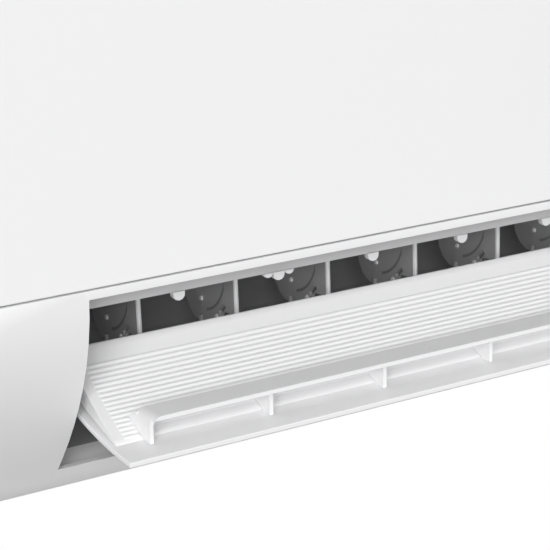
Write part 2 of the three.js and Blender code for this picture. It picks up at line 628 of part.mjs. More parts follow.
function frontPanel() {
  const half = HALF_WIDTH - PANEL_SIDE_GAP;
  const bottom = PANEL_BOTTOM;
  const top = PANEL_TOP;
  const plan = (inset) => {
    const left = corner([-half + CASING_CORNER, CASING_CORNER], CASING_CORNER - inset, 180, 270, 4);
    return [[half - inset, UNIT_DEPTH], [-half + inset, UNIT_DEPTH], ...left, ...mirrored(left)];
  };
  let body = solid(alongZ(plan(0), bottom, top)).intersect(solid(box(-half, half, -1, PANEL_FLANGE, bottom,
      top)));
  body = body.subtract(solid(box(-half + PANEL_SKIN + 3, half - PANEL_SKIN - 3, PANEL_SKIN, 20,
      bottom + PANEL_SKIN, top - PANEL_SKIN)));
  for (const side of [-1, 1]) {
    const ear = side * PANEL_EAR_X;
    const round = PANEL_PIN_RADIUS * 2;
    const web = [[PANEL_SKIN - 1, PANEL_HINGE_HEIGHT - round],
      ...corner([PANEL_HINGE_DEPTH, PANEL_HINGE_HEIGHT], round, -90, 90, 6),
      [PANEL_SKIN - 1, PANEL_HINGE_HEIGHT + round]];
    const plate = alongX(web, ear - PANEL_EAR_THICKNESS / 2, ear + PANEL_EAR_THICKNESS / 2);
    const tip = ear + side * (PANEL_EAR_THICKNESS / 2 + LUG_THICKNESS);
    const pin = rodX(PANEL_PIN_RADIUS, Math.min(ear, tip), Math.max(ear, tip), PANEL_HINGE_DEPTH,
        PANEL_HINGE_HEIGHT, 12);
    body = body.add(join(plate, pin));
  }
  return body;
}

// ---------------------------------------------------------------- fan

function fanRotor() {
  const count = FAN_BLADES;
  const inner = FAN_RADIUS - FAN_BLADE_CHORD * 0.88;
  const pieces = [];
  for (let i = 0; i <= FAN_SECTIONS; i += 1) {
    const x = FAN_LEFT + ((FAN_RIGHT - FAN_LEFT - FAN_DISC) * i) / FAN_SECTIONS;
    const outer = corner([0, 0], FAN_RADIUS, 0, 360, 30).slice(0, -1);
    const disc = shapeOf(outer);
    if (i > 0 && i < FAN_SECTIONS) disc.holes.push(shapeOf(corner([0, 0], inner - 3, 0, 360, 20).slice(0,
        -1)));
    const basis = new THREE.Matrix4().set(0, 0, 1, x, 1, 0, 0, FAN_DEPTH, 0, 1, 0, FAN_HEIGHT, 0, 0, 0, 1);
    pieces.push(solid(extrude(disc, FAN_DISC).applyMatrix4(basis)));
  }
  for (let i = 0; i < count; i += 1) {
    const turn = (i * 360) / count;
    const blade = strip(bladeLine(turn, inner), FAN_BLADE_THICKNESS);
    const placed = blade.map(([y, z]) => [y + FAN_DEPTH, z + FAN_HEIGHT]);
    pieces.push(solid(alongX(placed, FAN_LEFT + 1, FAN_RIGHT - 1)));
  }
  pieces.push(solid(rodX(FAN_SHAFT_RADIUS, FAN_LEFT - FAN_SHAFT_LENGTH, FAN_LEFT + 1, FAN_DEPTH,
      FAN_HEIGHT)));
  pieces.push(solid(rodX(FAN_HUB_RADIUS, FAN_RIGHT - 1, FAN_RIGHT + FAN_HUB_LENGTH, FAN_DEPTH, FAN_HEIGHT)));
  return pieces.reduce((whole, next) => whole.add(next));
}

// Middle line of one forward-curved blade.
function bladeLine(turn, inner) {
  const lead = 14;
  return [[inner, turn], [(inner + FAN_RADIUS) / 2 - 0.4, turn + lead * 0.32],
      [FAN_RADIUS - 0.9, turn + lead]]
    .map(([radius, angle]) => [radius * Math.cos(angle * RAD), radius * Math.sin(angle * RAD)]);
}

// ---------------------------------------------------------------- chassis and wall plate

const FLOOR_START = [56, BOTTOM + 15.8];
const FAN_CLEARANCE = 4; // between the fan and the curved wall behind it
const GUIDER_REAR = FAN_DEPTH + FAN_RADIUS + FAN_CLEARANCE;
const GUIDER_TOP = [GUIDER_REAR - 6, FAN_HEIGHT + FAN_RADIUS];
const guiderLine = [FLOOR_START,
  ...bezier([82, -92], [GUIDER_REAR - 24, -80], [GUIDER_REAR + 2, -20], [GUIDER_REAR, FAN_HEIGHT], 9),
      GUIDER_TOP];
const GUIDER_HALF = HALF_OUTLET - 0.4;
const BACK_INNER = REAR - CHASSIS_WALL;
const HOOK_X = [130 - HALF_OUTLET, HALF_OUTLET - 130];
const HOOK_WIDTH = 40;
const HOOK_HEIGHT = 100;
const CHASSIS_TOP = 150;
const JAMB_REAR = 118;
const ARM_FRONT = FAN_DEPTH - SADDLE_HALF - 2.7;
const CHASSIS_RIB_X = [-180, 0, 180];
const PIPE_CHANNEL = [BACK_INNER - 17.5, BACK_INNER - 2.9, BOTTOM + 8, BOTTOM + 37]; // depths, then heights

function chassis() {
  const half = HALF_WIDTH - SKIN - 1.1;
  const floorZ = BOTTOM + SKIN + SEAT_GAP;
  const back = box(-half, half, BACK_INNER, REAR, floorZ, CHASSIS_TOP);
  const floor = box(-half, half, 78, REAR, floorZ, floorZ + CHASSIS_WALL);
  const guider = alongX(strip(guiderLine, -CHASSIS_WALL).reverse(), -GUIDER_HALF, GUIDER_HALF);
  const gutterFloor = GUIDER_TOP[1] - 2;
  const gutter = box(-GUIDER_HALF, ELECTRICS_LEFT + 16, GUIDER_TOP[0], BACK_INNER + 1, gutterFloor,
    gutterFloor + CHASSIS_WALL);
  const rib = [[128, -66], [170, -30], [177, 10], [BACK_INNER + 1, 10], [BACK_INNER + 1, floorZ + 1],
      [90, floorZ + 1], [96, -89]];
  const ribs = CHASSIS_RIB_X.map((x) => alongX(rib, x, x + CHASSIS_WALL));
  const endPlate = [[JAMB_REAR + 0.5, floorZ], [REAR - 1, floorZ], [REAR - 1, 132], [ARM_FRONT, 132],
      [ARM_FRONT, 14],
    [JAMB_REAR + 0.5, 2]];
  const ends = [-1, 1].map((side) => {
    const x0 = side < 0 ? -HALF_OUTLET - SKIN : HALF_OUTLET - 0.6;
    return alongX(endPlate, x0, x0 + SKIN + 0.6);
  });
  const bearingCup = rodX(BEARING_RADIUS + SKIN, -HALF_OUTLET - 1, FAN_LEFT - 4, FAN_DEPTH, FAN_HEIGHT);
  const near = FAN_DEPTH - SADDLE_HALF;
  const far = FAN_DEPTH + SADDLE_HALF;
  const cradle = [[near, FAN_HEIGHT], [near, 8], [JAMB_REAR, -12], [JAMB_REAR, -80], [140, -66], [far, -42],
      [far, FAN_HEIGHT]];
  const saddle = alongX(cradle, ...MOTOR_SADDLE_X);
  let body = join(back, floor, guider, gutter, ...ribs, ...ends, bearingCup, saddle);
  body = cut(body, rodX(FAN_MOTOR_RADIUS + SEAT_GAP, MOTOR_LEFT - 1, MOTOR_LEFT + 68, FAN_DEPTH, FAN_HEIGHT,
      24),
    rodX(BEARING_RADIUS + SEAT_GAP, -HALF_OUTLET + 3, FAN_LEFT, FAN_DEPTH, FAN_HEIGHT),
    box(CHASSIS_RIB_X[0] - 10, CHASSIS_RIB_X[2] + 10, ...PIPE_CHANNEL));
  for (const x of HOOK_X) {
    const slot = HOOK_WIDTH / 2 + 2;
    body = cut(body, box(x - slot, x + slot, BACK_INNER - 1, REAR + 1, HOOK_HEIGHT - 3,
        HOOK_HEIGHT + PLATE_THICKNESS + SEAT_GAP));
  }
  return body;
}

const PLATE_HALF = HALF_OUTLET - 10;

function wallPlate() {
  const front = REAR + SEAT_GAP;
  const left = corner([10 - PLATE_HALF, -60], 10, 180, 270, 3);
  const upper = corner([10 - PLATE_HALF, 120], 10, 90, 180, 3);
  const outline = [...upper, ...left, ...mirrored(left), ...mirrored(upper)];
  let body = solid(alongY(outline, front, UNIT_DEPTH));
  for (const x of HOOK_X) {
    const tip = BACK_INNER - SEAT_GAP;
    const hook = [[front + 1, HOOK_HEIGHT], [front + 1, HOOK_HEIGHT + PLATE_THICKNESS],
        [tip, HOOK_HEIGHT + PLATE_THICKNESS],
      [tip, HOOK_HEIGHT + 12], [tip - PLATE_THICKNESS, HOOK_HEIGHT + 12],
          [tip - PLATE_THICKNESS, HOOK_HEIGHT]];
    body = body.add(solid(alongX(hook, x - HOOK_WIDTH / 2, x + HOOK_WIDTH / 2)));
  }
  for (const x of [-1, -0.5, 0.5, 1].map((share) => share * (PLATE_HALF - 50))) {
    for (const z of [-40, 60]) {
      const slot = [...corner([x - 9, z], 3, 90, 270, 4), ...corner([x + 9, z], 3, -90, 90, 4)];
      body = cut(body, alongY(slot, front - 1, UNIT_DEPTH + 1));
    }
  }
  return body;
}

// ---------------------------------------------------------------- fan bearing and motor

const BEARING_RADIUS = 12;
const MOTOR_BOSS = 4; // length of the boss towards the fan
const MOTOR_LEFT = FAN_RIGHT + FAN_HUB_LENGTH + SEAT_GAP + MOTOR_BOSS;
const MOTOR_SADDLE_X = [MOTOR_LEFT + 16, MOTOR_LEFT + 40];
const CLAMP_X = [MOTOR_SADDLE_X[0] + 4, MOTOR_SADDLE_X[1] - 4];

function fanBearing() {
  const body = solid(rodX(BEARING_RADIUS, FAN_LEFT - 15, FAN_LEFT - 5, FAN_DEPTH, FAN_HEIGHT));
  return cut(body, rodX(FAN_SHAFT_RADIUS + RUNNING_GAP, FAN_LEFT - 20, FAN_LEFT, FAN_DEPTH, FAN_HEIGHT));
}

function fanMotor() {
  const can = rodX(FAN_MOTOR_RADIUS, MOTOR_LEFT, MOTOR_LEFT + FAN_MOTOR_LENGTH, FAN_DEPTH, FAN_HEIGHT, 24);
  const boss = rodX(12, MOTOR_LEFT - MOTOR_BOSS, MOTOR_LEFT + 1, FAN_DEPTH, FAN_HEIGHT);
  return join(can, boss);
}

function motorClamp() {
  const inner = FAN_MOTOR_RADIUS + SEAT_GAP;
  const outer = inner + 2;
  const foot = FAN_HEIGHT + SEAT_GAP;
  const rise = (foot - FAN_HEIGHT) / inner / RAD;
  const arch = [...corner([FAN_DEPTH, FAN_HEIGHT], inner, rise, 180 - rise, 12),
    [FAN_DEPTH - SADDLE_HALF, foot], [FAN_DEPTH - SADDLE_HALF, foot + 2],
    ...corner([FAN_DEPTH, FAN_HEIGHT], outer, 176, 4, 12), [FAN_DEPTH + SADDLE_HALF, foot + 2],
        [FAN_DEPTH + SADDLE_HALF, foot]];
  return alongX(arch, ...CLAMP_X);
}

function flapMotor() {
  const x = HALF_OUTLET + SKIN + SEAT_GAP;
  const can = rodX(9.5, x + 2, x + 14, ...FLAP_PIVOT);
  const flange = box(x, x + 2.2, FLAP_PIVOT[0] - 7, FLAP_PIVOT[0] + 20, FLAP_PIVOT[1] - 6, FLAP_PIVOT[1] + 6);
  return join(can, flange);
}

function vaneMotor() {
  const x = LAST_VANE_X;
  const base = VANE_BOSS_TOP + SEAT_GAP;
  const can = rodZ(10, base, base + 13, x, VANE_PIVOT_DEPTH - 10);
  const ears = box(x - 17, x + 17, VANE_PIVOT_DEPTH - 14, VANE_PIVOT_DEPTH - 6, base + 10, base + 11.5);
  return join(can, ears);
}

// ---------------------------------------------------------------- coil and pipes

const COIL_TOP = TOP - 26;
const coilBanks = {
  coil_front: [[50, 20], [50, 90]],
  coil_top: [[58, 99], [104, COIL_TOP]],
  coil_rear: [[128, COIL_TOP], [172, 99]],
};

const COIL_BENDS = 3;
const BRACKET_THICKNESS = 1.6;

// Length of a bank in section, and the point that lies some way along it and across it.
function bankAxes([low, high]) {
  const run = [high[0] - low[0], high[1] - low[1]];
  const length = Math.hypot(...run);
  const along = [run[0] / length, run[1] / length];
  const across = [-along[1], along[0]];
  const at = (s, t) => [low[0] + along[0] * s + across[0] * t, low[1] + along[1] * s + across[1] * t];
  return { length, across, at };
}

// One bank: a core between end plates, with fins standing out of it and bends at both ends.
function coilBank(ends) {
  const { length, across, at } = bankAxes(ends);
  const block = (margin) => {
    const half = COIL_THICKNESS / 2 - margin;
    return [at(margin, half), at(margin, -half), at(length - margin, -half), at(length - margin, half)];
  };
  const pieces = [alongX(block(2), COIL_LEFT, COIL_RIGHT)];
  const fins = Math.round((COIL_RIGHT - COIL_LEFT) / COIL_FIN_PITCH / 2);
  for (let i = 0; i <= fins; i += 1) {
    const x = COIL_LEFT + ((COIL_RIGHT - COIL_LEFT - COIL_FIN_GROOVE) * i) / fins;
    pieces.push(alongX(block(0), x, x + COIL_FIN_GROOVE));
  }
  for (let i = 0; i < COIL_BENDS; i += 1) {
    const centre = at((length * (i + 0.5)) / COIL_BENDS, 0);
    pieces.push(bend(centre, across, COIL_LEFT + 1, -1), bend(centre, across, COIL_RIGHT - 1, 1));
  }
  return join(...pieces);
}

// Sheet-metal end plate that carries all three banks. It stands in the drain pan and meets the back.
function coilBracket(x0, pipeHoles) {
  const outline = [[35, -14], [57, -12.8], [62, 20], [62, 86], [70, 92], [112, COIL_TOP - 11],
    [120, COIL_TOP - 11], [160, 94], [160, 88], [BACK_INNER - SEAT_GAP, 88], [BACK_INNER - SEAT_GAP, 108],
    [184, 108], [138, COIL_TOP + 9], [94, COIL_TOP + 9], [48, 108], [38, 95], [38, 20]];
  const slots = [];
  for (const ends of Object.values(coilBanks)) {
    const { length, at } = bankAxes(ends);
    for (let i = 0; i < COIL_BENDS; i += 1) {
      const s = (length * (i + 0.5)) / COIL_BENDS;
      const slot = [at(s - 4.4, -10.4), at(s + 4.4, -10.4), at(s + 4.4, 10.4), at(s - 4.4, 10.4)];
      slots.push(alongX(slot, x0 - 1, x0 + BRACKET_THICKNESS + 1));
    }
  }
  const holes = pipeHoles.map(([radius, y, z]) => rodX(radius + 0.4, x0 - 1, x0 + BRACKET_THICKNESS + 1, y,
      z, 10));
  return cut(solid(alongX(outline, x0, x0 + BRACKET_THICKNESS)), ...slots, ...holes);
}

function bend(centre, across, x, side) {
  const reach = COIL_THICKNESS / 4;
  const point = (angle) => new THREE.Vector3(x + side * reach * Math.sin(angle),
    centre[0] + across[0] * reach * Math.cos(angle), centre[1] + across[1] * reach * Math.cos(angle));
  const path = new THREE.CatmullRomCurve3([0, 1, 2, 3, 4].map((i) => point((i * Math.PI) / 4)));
  return tube(path, COIL_TUBE_RADIUS, 6, 6);
}

function tube(path, radius, steps, sides) {
  const section = shapeOf(corner([0, 0], radius, 0, 360, sides).slice(0, -1));
  return new THREE.ExtrudeGeometry(section, { steps, extrudePath: path, bevelEnabled: false });
}

const GAS_RADIUS = 4.8;
const LIQUID_RADIUS = 3.2;
const rearBank = bankAxes(coilBanks.coil_rear);
const GAS_START = rearBank.at((rearBank.length * 2) / 3, 0);
const LIQUID_START = rearBank.at(rearBank.length / 3, 0);
const GAS_END = 100 - HALF_OUTLET;
const LIQUID_END = 150 - HALF_OUTLET;
const GAS_RUN = [BACK_INNER - 9.5, BOTTOM + 29];
const LIQUID_RUN = [BACK_INNER - 8.5, BOTTOM + 18];

function pipe(radius, startDepth, startHeight, dropX, depth, runHeight, endX) {
  const x0 = COIL_RIGHT + SEAT_GAP + 0.2;
  const points = [[x0, startDepth, startHeight], [x0 + 12, startDepth, startHeight],
      [dropX - 14, startDepth + 6, startHeight - 4],
    [dropX, depth - 6, startHeight - 20], [dropX, depth, startHeight - 50], [dropX, depth, 0],
        [dropX, depth, runHeight + 40],
    [dropX - 6, depth, runHeight + 12], [dropX - 24, depth, runHeight], [dropX - 60, depth, runHeight],
        [endX, depth, runHeight]];
  const path = new THREE.CatmullRomCurve3(points.map((p) => new THREE.Vector3(...p)), false, "centripetal");
  return tube(path, radius, 26, 8);
}

function flareNut(radius, wall, endX, depth, height) {
  const right = endX - SEAT_GAP;
  const hex = rodX(radius + wall, right - 16, right, depth, height, 6);
  return solid(hex).subtract(solid(rodX(radius, right - 20, right - 4, depth, height, 12)));
}

// ---------------------------------------------------------------- electrics

const BOX_LEFT = ELECTRICS_LEFT + 4;
const BOX_RIGHT = HALF_WIDTH - SKIN - 4;
const BOX_FRONT = 20;
const BOX_REAR = ARM_FRONT - SEAT_GAP;
const BOX_BOTTOM = 18;
const BOX_TOP = 144;
const BOX_WALL = 2;

function controlBox() {
  const body = solid(box(BOX_LEFT, BOX_RIGHT, BOX_FRONT, BOX_REAR, BOX_BOTTOM, BOX_TOP));
  const notch = box(BOX_LEFT - 1, BOX_LEFT + 5, BOX_FRONT - 1, BOX_FRONT + 12, 60, 76);
  return cut(body, box(BOX_LEFT + BOX_WALL, BOX_RIGHT - BOX_WALL, BOX_FRONT - 1, BOX_REAR - BOX_WALL,
    BOX_BOTTOM + BOX_WALL, BOX_TOP - BOX_WALL), notch);
}

function controlBoxLid() {
  const y1 = BOX_FRONT - SEAT_GAP;
  const plate = box(BOX_LEFT, BOX_RIGHT, y1 - 1.6, y1, BOX_BOTTOM, BOX_TOP);
  const tab = box(BOX_LEFT + 20, BOX_LEFT + 34, y1 - 1.6, y1 + 0.1, BOX_TOP - 1, BOX_TOP + 5);
  return join(plate, tab);
}

function circuitBoard() {
  const y0 = BOX_REAR - BOX_WALL - SEAT_GAP - 6;
  const x0 = BOX_LEFT + BOX_WALL + SEAT_GAP;
  const x1 = BOX_RIGHT - BOX_WALL - SEAT_GAP;
  const board = box(x0, x1, y0, y0 + 1.6, 58, BOX_TOP - BOX_WALL - 2);
  const posts = [[x0 + 6, 64], [x1 - 6, 64], [x0 + 6, 134], [x1 - 6, 134]].map(([x, z]) => rodY(2.5, y0 + 1,
      BOX_REAR - BOX_WALL - SEAT_GAP, x, z, 8));
  const parts = [box(x0 + 8, x0 + 34, y0 - 18, y0 + 0.5, 70, 92),
      box(x0 + 44, x0 + 62, y0 - 14, y0 + 0.5, 72, 90),
    box(x0 + 12, x0 + 40, y0 - 3, y0 + 0.5, 112, 130), rodY(8, y0 - 24, y0 + 0.5, x0 + 72, 110),
        rodY(5, y0 - 14, y0 + 0.5, x0 + 56, 130, 12)];
  return join(board, ...posts, ...parts);
}

function terminalBlock() {
  const y1 = BOX_REAR - BOX_WALL - SEAT_GAP;
  let body = solid(box(BOX_LEFT + 20, BOX_LEFT + 84, y1 - 16, y1, 24, 44));
  for (let i = 0; i < 4; i += 1) {
    const x = BOX_LEFT + 22 + i * 16;
    body = cut(body, box(x, x + 12, y1 - 20, y1 - 8, 28, 40));
  }
  return body;
}

function displayBoard() {
  const y1 = CASING_FRONT_SETBACK - SEAT_GAP;
  const x0 = ELECTRICS_LEFT + 16;
  const board = box(x0, x0 + 66, y1 - 1.6, y1, 50, 66);
  const lamps = [14, 33, 52].map((x) => rodY(2, y1 - 3, y1 - 1, x0 + x, 58, 10));
  return join(board, ...lamps);
}

function airSensor() {
  const x1 = BOX_LEFT - SEAT_GAP;
  const clip = box(x1 - 3, x1, 30, 38, 84, 96);
  const bulb = rodZ(2.6, 76, 106, x1 - 4.4, 34, 10);
  return join(clip, bulb);
}

function emergencyButton() {
  const wall = CASING_FRONT_SETBACK + SKIN;
  const cap = rodY(BUTTON_RADIUS, CASING_FRONT_SETBACK - 1.6, wall + 1, BUTTON_X, BUTTON_HEIGHT);
  const flange = rodY(BUTTON_RADIUS + 2, wall + SEAT_GAP, wall + 1.8, BUTTON_X, BUTTON_HEIGHT);
  return join(cap, flange);
}

// ---------------------------------------------------------------- filters

function filter(side) {
  const near = FILTER_CENTRE_BAR + FILTER_SIDE_GAP;
  const far = HALF_WIDTH - FILTER_MARGIN - FILTER_SIDE_GAP;
  const y0 = FILTER_FRONT + FILTER_SIDE_GAP;
  const y1 = FILTER_REAR - FILTER_SIDE_GAP;
  const stepX = (far - near - FILTER_BAR) / FILTER_COLUMNS;
  const stepY = (y1 - y0 - FILTER_BAR) / FILTER_ROWS;
  const bars = [];
  for (let i = 0; i <= FILTER_COLUMNS; i += 1) {
    const rim = i === 0 || i === FILTER_COLUMNS ? 0 : FILTER_BAR_DROP;
    const x = near + i * stepX;
    bars.push(box(x, x + FILTER_BAR, y0, y1, TOP - FILTER_THICKNESS, TOP - rim));
  }
  for (let j = 0; j <= FILTER_ROWS; j += 1) {
    const rim = j === 0 || j === FILTER_ROWS ? 0 : FILTER_BAR_DROP;
    const y = y0 + j * stepY;
    bars.push(box(near, far, y, y + FILTER_BAR, TOP - FILTER_THICKNESS, TOP - rim));
  }
  const lattice = geometryOf(join(...bars));
  return side > 0 ? lattice : lattice.rotateZ(Math.PI).translate(0, y0 + y1, 0);
}

// ---------------------------------------------------------------- assembly

add("front_casing", frontCasing(), whitePlastic());
add("front_panel", frontPanel(), whitePlastic());
add("flap_skin", flapSkin(), whitePlastic());
add("flap_guide", flapGuide(), whitePlastic());
add("flap_fin", flapFin(), whitePlastic());
add("outlet_frame", outletFrame(), frameGrey());
for (let i = 0; i < VANE_COUNT; i += 1) {
  const driven = i === VANE_COUNT - 1;
  const pivotTop = driven ? VANE_BOSS_TOP : VANE_BOSS_TOP - 2;
  add(`vane_${String(i + 1).padStart(2, "0")}`, vane(FIRST_VANE_X + i * VANE_PITCH, pivotTop), greyPlastic());
}
add("vane_link_rod", linkRod(), whitePlastic());
add("fan_rotor", fanRotor(), darkPlastic());
add("chassis", chassis(), whitePlastic());
add("wall_plate", wallPlate(), zinc());
add("fan_bearing", fanBearing(), rubber());
add("fan_motor", fanMotor(), zinc());
add("motor_clamp", motorClamp(), zinc());
add("flap_motor", flapMotor(), zinc());
add("vane_motor", vaneMotor(), zinc());
for (const [name, ends] of Object.entries(coilBanks)) add(name, coilBank(ends), aluminium());
add("coil_bracket_left", coilBracket(COIL_LEFT - SEAT_GAP - BRACKET_THICKNESS, []), zinc());
add("coil_bracket_right", coilBracket(COIL_RIGHT + SEAT_GAP,
  [[GAS_RADIUS, ...GAS_START], [LIQUID_RADIUS, ...LIQUID_START]]), zinc());
add("gas_pipe", pipe(GAS_RADIUS, ...GAS_START, HALF_OUTLET - 20, ...GAS_RUN, GAS_END), copper());
add("liquid_pipe", pipe(LIQUID_RADIUS, ...LIQUID_START, HALF_OUTLET - 7, ...LIQUID_RUN, LIQUID_END),
    copper());
add("gas_flare_nut", flareNut(GAS_RADIUS, 4, GAS_END, ...GAS_RUN), brass());
add("liquid_flare_nut", flareNut(LIQUID_RADIUS, 2.6, LIQUID_END, ...LIQUID_RUN), brass());
add("control_box", controlBox(), whitePlastic());
add("control_box_lid", controlBoxLid(), zinc());
add("circuit_board", circuitBoard(), boardGreen());
add("terminal_block", terminalBlock(), darkPlastic());
add("display_board", displayBoard(), boardGreen());
add("air_sensor", airSensor(), darkPlastic());
add("emergency_button", emergencyButton(), whitePlastic());
add("filter_left", filter(-1), darkPlastic());
add("filter_right", filter(1), darkPlastic());

unit.position.set(0, -UNIT_DEPTH, -WALL_PLATE_CENTRE_HEIGHT);

export default unit;
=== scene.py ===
"""Looks of a wall-hung indoor unit of a mini split air conditioner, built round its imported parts."""

import json
import math

import bmesh
import bpy
from mathutils import Matrix, Vector


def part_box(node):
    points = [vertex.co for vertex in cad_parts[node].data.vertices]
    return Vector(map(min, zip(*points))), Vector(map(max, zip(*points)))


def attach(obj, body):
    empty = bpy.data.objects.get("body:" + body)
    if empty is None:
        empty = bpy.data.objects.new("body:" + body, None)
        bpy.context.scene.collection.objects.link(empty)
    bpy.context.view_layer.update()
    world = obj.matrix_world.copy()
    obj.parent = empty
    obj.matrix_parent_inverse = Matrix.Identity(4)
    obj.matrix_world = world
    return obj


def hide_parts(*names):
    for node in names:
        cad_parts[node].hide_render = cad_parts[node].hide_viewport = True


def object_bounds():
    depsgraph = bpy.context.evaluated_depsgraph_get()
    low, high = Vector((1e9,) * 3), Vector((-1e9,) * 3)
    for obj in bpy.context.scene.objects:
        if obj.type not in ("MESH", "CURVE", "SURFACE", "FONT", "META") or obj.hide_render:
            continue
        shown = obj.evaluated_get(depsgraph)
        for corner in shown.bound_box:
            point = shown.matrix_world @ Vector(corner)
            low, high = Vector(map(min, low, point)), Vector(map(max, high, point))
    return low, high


bl_info = {
    "name": "Mini split indoor unit",
    "version": (1, 0, 0),
    "blender": (4, 5, 0),
    "location": "View3D > Sidebar > Indoor unit",
    "description": "Dresses the parts of a wall-hung indoor unit",
    "category": "Add Mesh",
}

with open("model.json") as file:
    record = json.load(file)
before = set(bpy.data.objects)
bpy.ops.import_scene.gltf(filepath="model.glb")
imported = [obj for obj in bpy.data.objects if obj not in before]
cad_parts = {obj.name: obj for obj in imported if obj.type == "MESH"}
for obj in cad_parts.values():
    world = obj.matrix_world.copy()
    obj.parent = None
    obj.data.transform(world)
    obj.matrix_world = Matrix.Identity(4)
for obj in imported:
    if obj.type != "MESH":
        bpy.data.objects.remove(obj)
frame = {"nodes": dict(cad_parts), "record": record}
CAD_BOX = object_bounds()
NODES = frame["nodes"]
BODIES = frame["record"]["behaviour"]["bodies"]
BODY_OF = {node: body for body, nodes in BODIES.items() for node in nodes}
SLOT_OF = {row["node"]: row["material_slot"] for row in frame["record"]["subparts"]}
VANES = sorted(node for node in NODES if node.removeprefix("vane_").isdigit())

MM = 0.001

# Lengths are in millimetres down to the stage. A section point is [depth, height]: depth behind the
# panel's face, and height over the seam under the panel, which lies here in the frame.
SECTION_DEPTH = -200.0
SECTION_HEIGHT = -33.0

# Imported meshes, as they are copied.
WELD = 0.002  # vertices nearer than this are one
FLAT_ANGLE = 0.6  # faces that meet at less than these degrees are one
EDGE_BAND = 0.1  # how far from an edge its vertices may lie
SEAM_OVERLAP = 0.7  # how far the panel's lower edge comes down to the rim
EDGE_ANGLE = 24.0  # edges sharper than these degrees are rounded
EDGE_SEGMENTS = 2

# The guide inside the flap: its upper face, its rounded rear crest and its underside.
GUIDE_FACE = ((-2.4, -66.2), (12.9, -59.9), (31.1, -50.4), (42.0, -38.7))
GUIDE_CREST = ((43.6, -37.9), (45.4, -38.6), (56.0, -46.6))
GUIDE_FOOT = ((64.0, -50.2), (54.0, -53.0), (40.0, -56.6), (26.0, -60.4), (12.0, -64.0), (-2.0, -67.0),
              (-3.2, -67.1))
GUIDE_END = 344.0
GUIDE_STEPS = 24  # steps along its upper face
FACE_STEPS = 120  # finer steps there, to set out the ridges

# Ridges across the guide.
RIDGE_COUNT = 17
RIDGE_PITCH = 2.6
RIDGE_FILL = 0.82  # share of the pitch that a ridge takes
RIDGE_START = 1.0
RIDGE_END = 339.4
RIDGE_RISE = 0.42
RIDGE_ROOT = 0.05  # how far a ridge is sunk into the guide
RIDGE_STEPS = 6
RIDGE_TAPER = ((0.0, 0.0), (0.25, 0.5), (0.8, 0.85), (1.8, 1.0))  # way in from the end, share of the rise

# The raised fin, and the curved back of its pockets.
FIN_END = 331.5
FIN_REAR = 9.7
FIN_GAP = 0.1  # between the fin's end and the ridges beside it
FIN_WEBS = 5
FIN_WEB_PITCH = 58.0
COVE = ((3.2, -56.9), (3.4, -57.6), (4.3, -58.8), (4.6, -60.6), (4.0, -62.4), (2.4, -64.2), (-0.2, -65.7),
        (-3.2, -66.7), (-6.2, -67.25), (-9.4, -67.52), (-9.4, -67.75), (8.0, -67.75), (8.0, -61.5),
        (4.6, -58.0))
COVE_INSET = 0.5  # from a web's middle to the cove's end, inside the web
POCKET_FRONT = -1.0
POCKET_FLOOR = -62.0
POCKET_CEILING = -56.2
POCKET_BACK = 2.2  # how far the pockets' ceiling runs back
BACK_WALL = 4.4  # depth of the fin's rear face at its top
BACK_WALL_TOP = -57.3
BACK_WALL_LEAN = 1.4  # depth that the rear face gains with each millimetre down
WALL_REACH = 0.5  # vertices nearer than this to the rear face or the fin's end belong to it
WALL_LEAST = 0.4  # least wall between a pocket and the rear face

# Vanes: front bar, pin ends and the curved groove in each face, the groove painted as a darker line of
# shade.
BAR_DEPTH = 2.1
VANE_PINS = ((96.0, -45.7), (81.0, -51.0))
PIN_REACH = 1.3
GROOVE_CENTRE = (98.0, -24.0)
GROOVE_RADIUS = 27.0
GROOVE_HALF = 0.7
GROOVE_FRONT = 73.0
GROOVE_REAR = 91.5
GROOVE_SHADE = 0.45

# Outlet frame and its lugs, at places in the frame.
LUG_STAND = 0.6  # how far the lugs stand in front of the band
LUG_TOP = -50.1  # lower edge of the band
LUG_SHOULDER = -47.0  # where the lugs leave the band's face
LUG_DEPTH = 4.0  # the lugs' vertices lie this near to the frame's front
LUG_FACE = 1.2  # and those of their front faces this near
LUG_LAP = 0.3  # how far the lugs reach up over the band's edge
SCREW_LUGS = (-246.0, 4.0, 254.0)
BUMP_SPAN = (5.2, 10.8)  # small lugs lie this far to the sides of the large one
BUMP_SHIFT = 2.6  # and come this much nearer to it

# Painted shade: the chassis is made dark behind this depth, for the shade deep inside the duct.
DUCT_SHADE_FRONT = -131.0  # the duct's floor is light in front of this depth and dark behind it

# Shared finish and materials. Scales are per metre, as the shaders count.
FINISH = "Moulded finish"
NOISE_MEAN = 0.5
DRIFT = 0.03
DRIFT_SCALE = 7.0
DRIFT_DETAIL = 3.0
MARK_SCALE = 60.0
MARK_DETAIL = 4.0
MARK_STRENGTH = 0.12
GRAIN_SCALE = 1500.0
GRAIN_DEPTH = 0.03
GRAIN_DETAIL = 2.0
FIN_STRIPES = ("X", 1.6)  # axis and pitch of the coil's fins
# The stripes are painted shade: the coil is made darker at the gaps between its fins.
FIN_GAP_SHADE = 0.28
STRIPE_TONE = 0.66
STRIPE_DEPTH = 0.4
TRACK_SCALE = 160.0
TRACK_WIDTH = 0.04
BOARD_SHADE = 0.8
TRACK_GAIN = 2.2
TRACK_LIFT = 0.01
BOARD_ROUGHNESS = 0.35

# Stage. Lengths are in metres from here on. A light's direction points to where it comes from.
FLOOR_HALF = 6.0
FLOOR_TONE = 0.3
FLOOR_ROUGHNESS = 0.9
KEY_FROM = (-0.5, -0.8, 0.35)
KEY_SPREAD = 35
BACK_FROM = (0.6, 0.7, 0.45)
BACK_SPREAD = 40

# The photograph's camera.
CAMERA_PLACE = Vector((-0.62198, -0.83929, 0.18046))
CAMERA_RIGHT = Vector((0.86646, -0.49793, -0.03632))
CAMERA_UP = Vector((0.17459, 0.23405, 0.95642))
CAMERA_LENS = 117.48  # millimetres, as on the sensor
CAMERA_SENSOR = 36.0
CAMERA_NEAR = 0.01


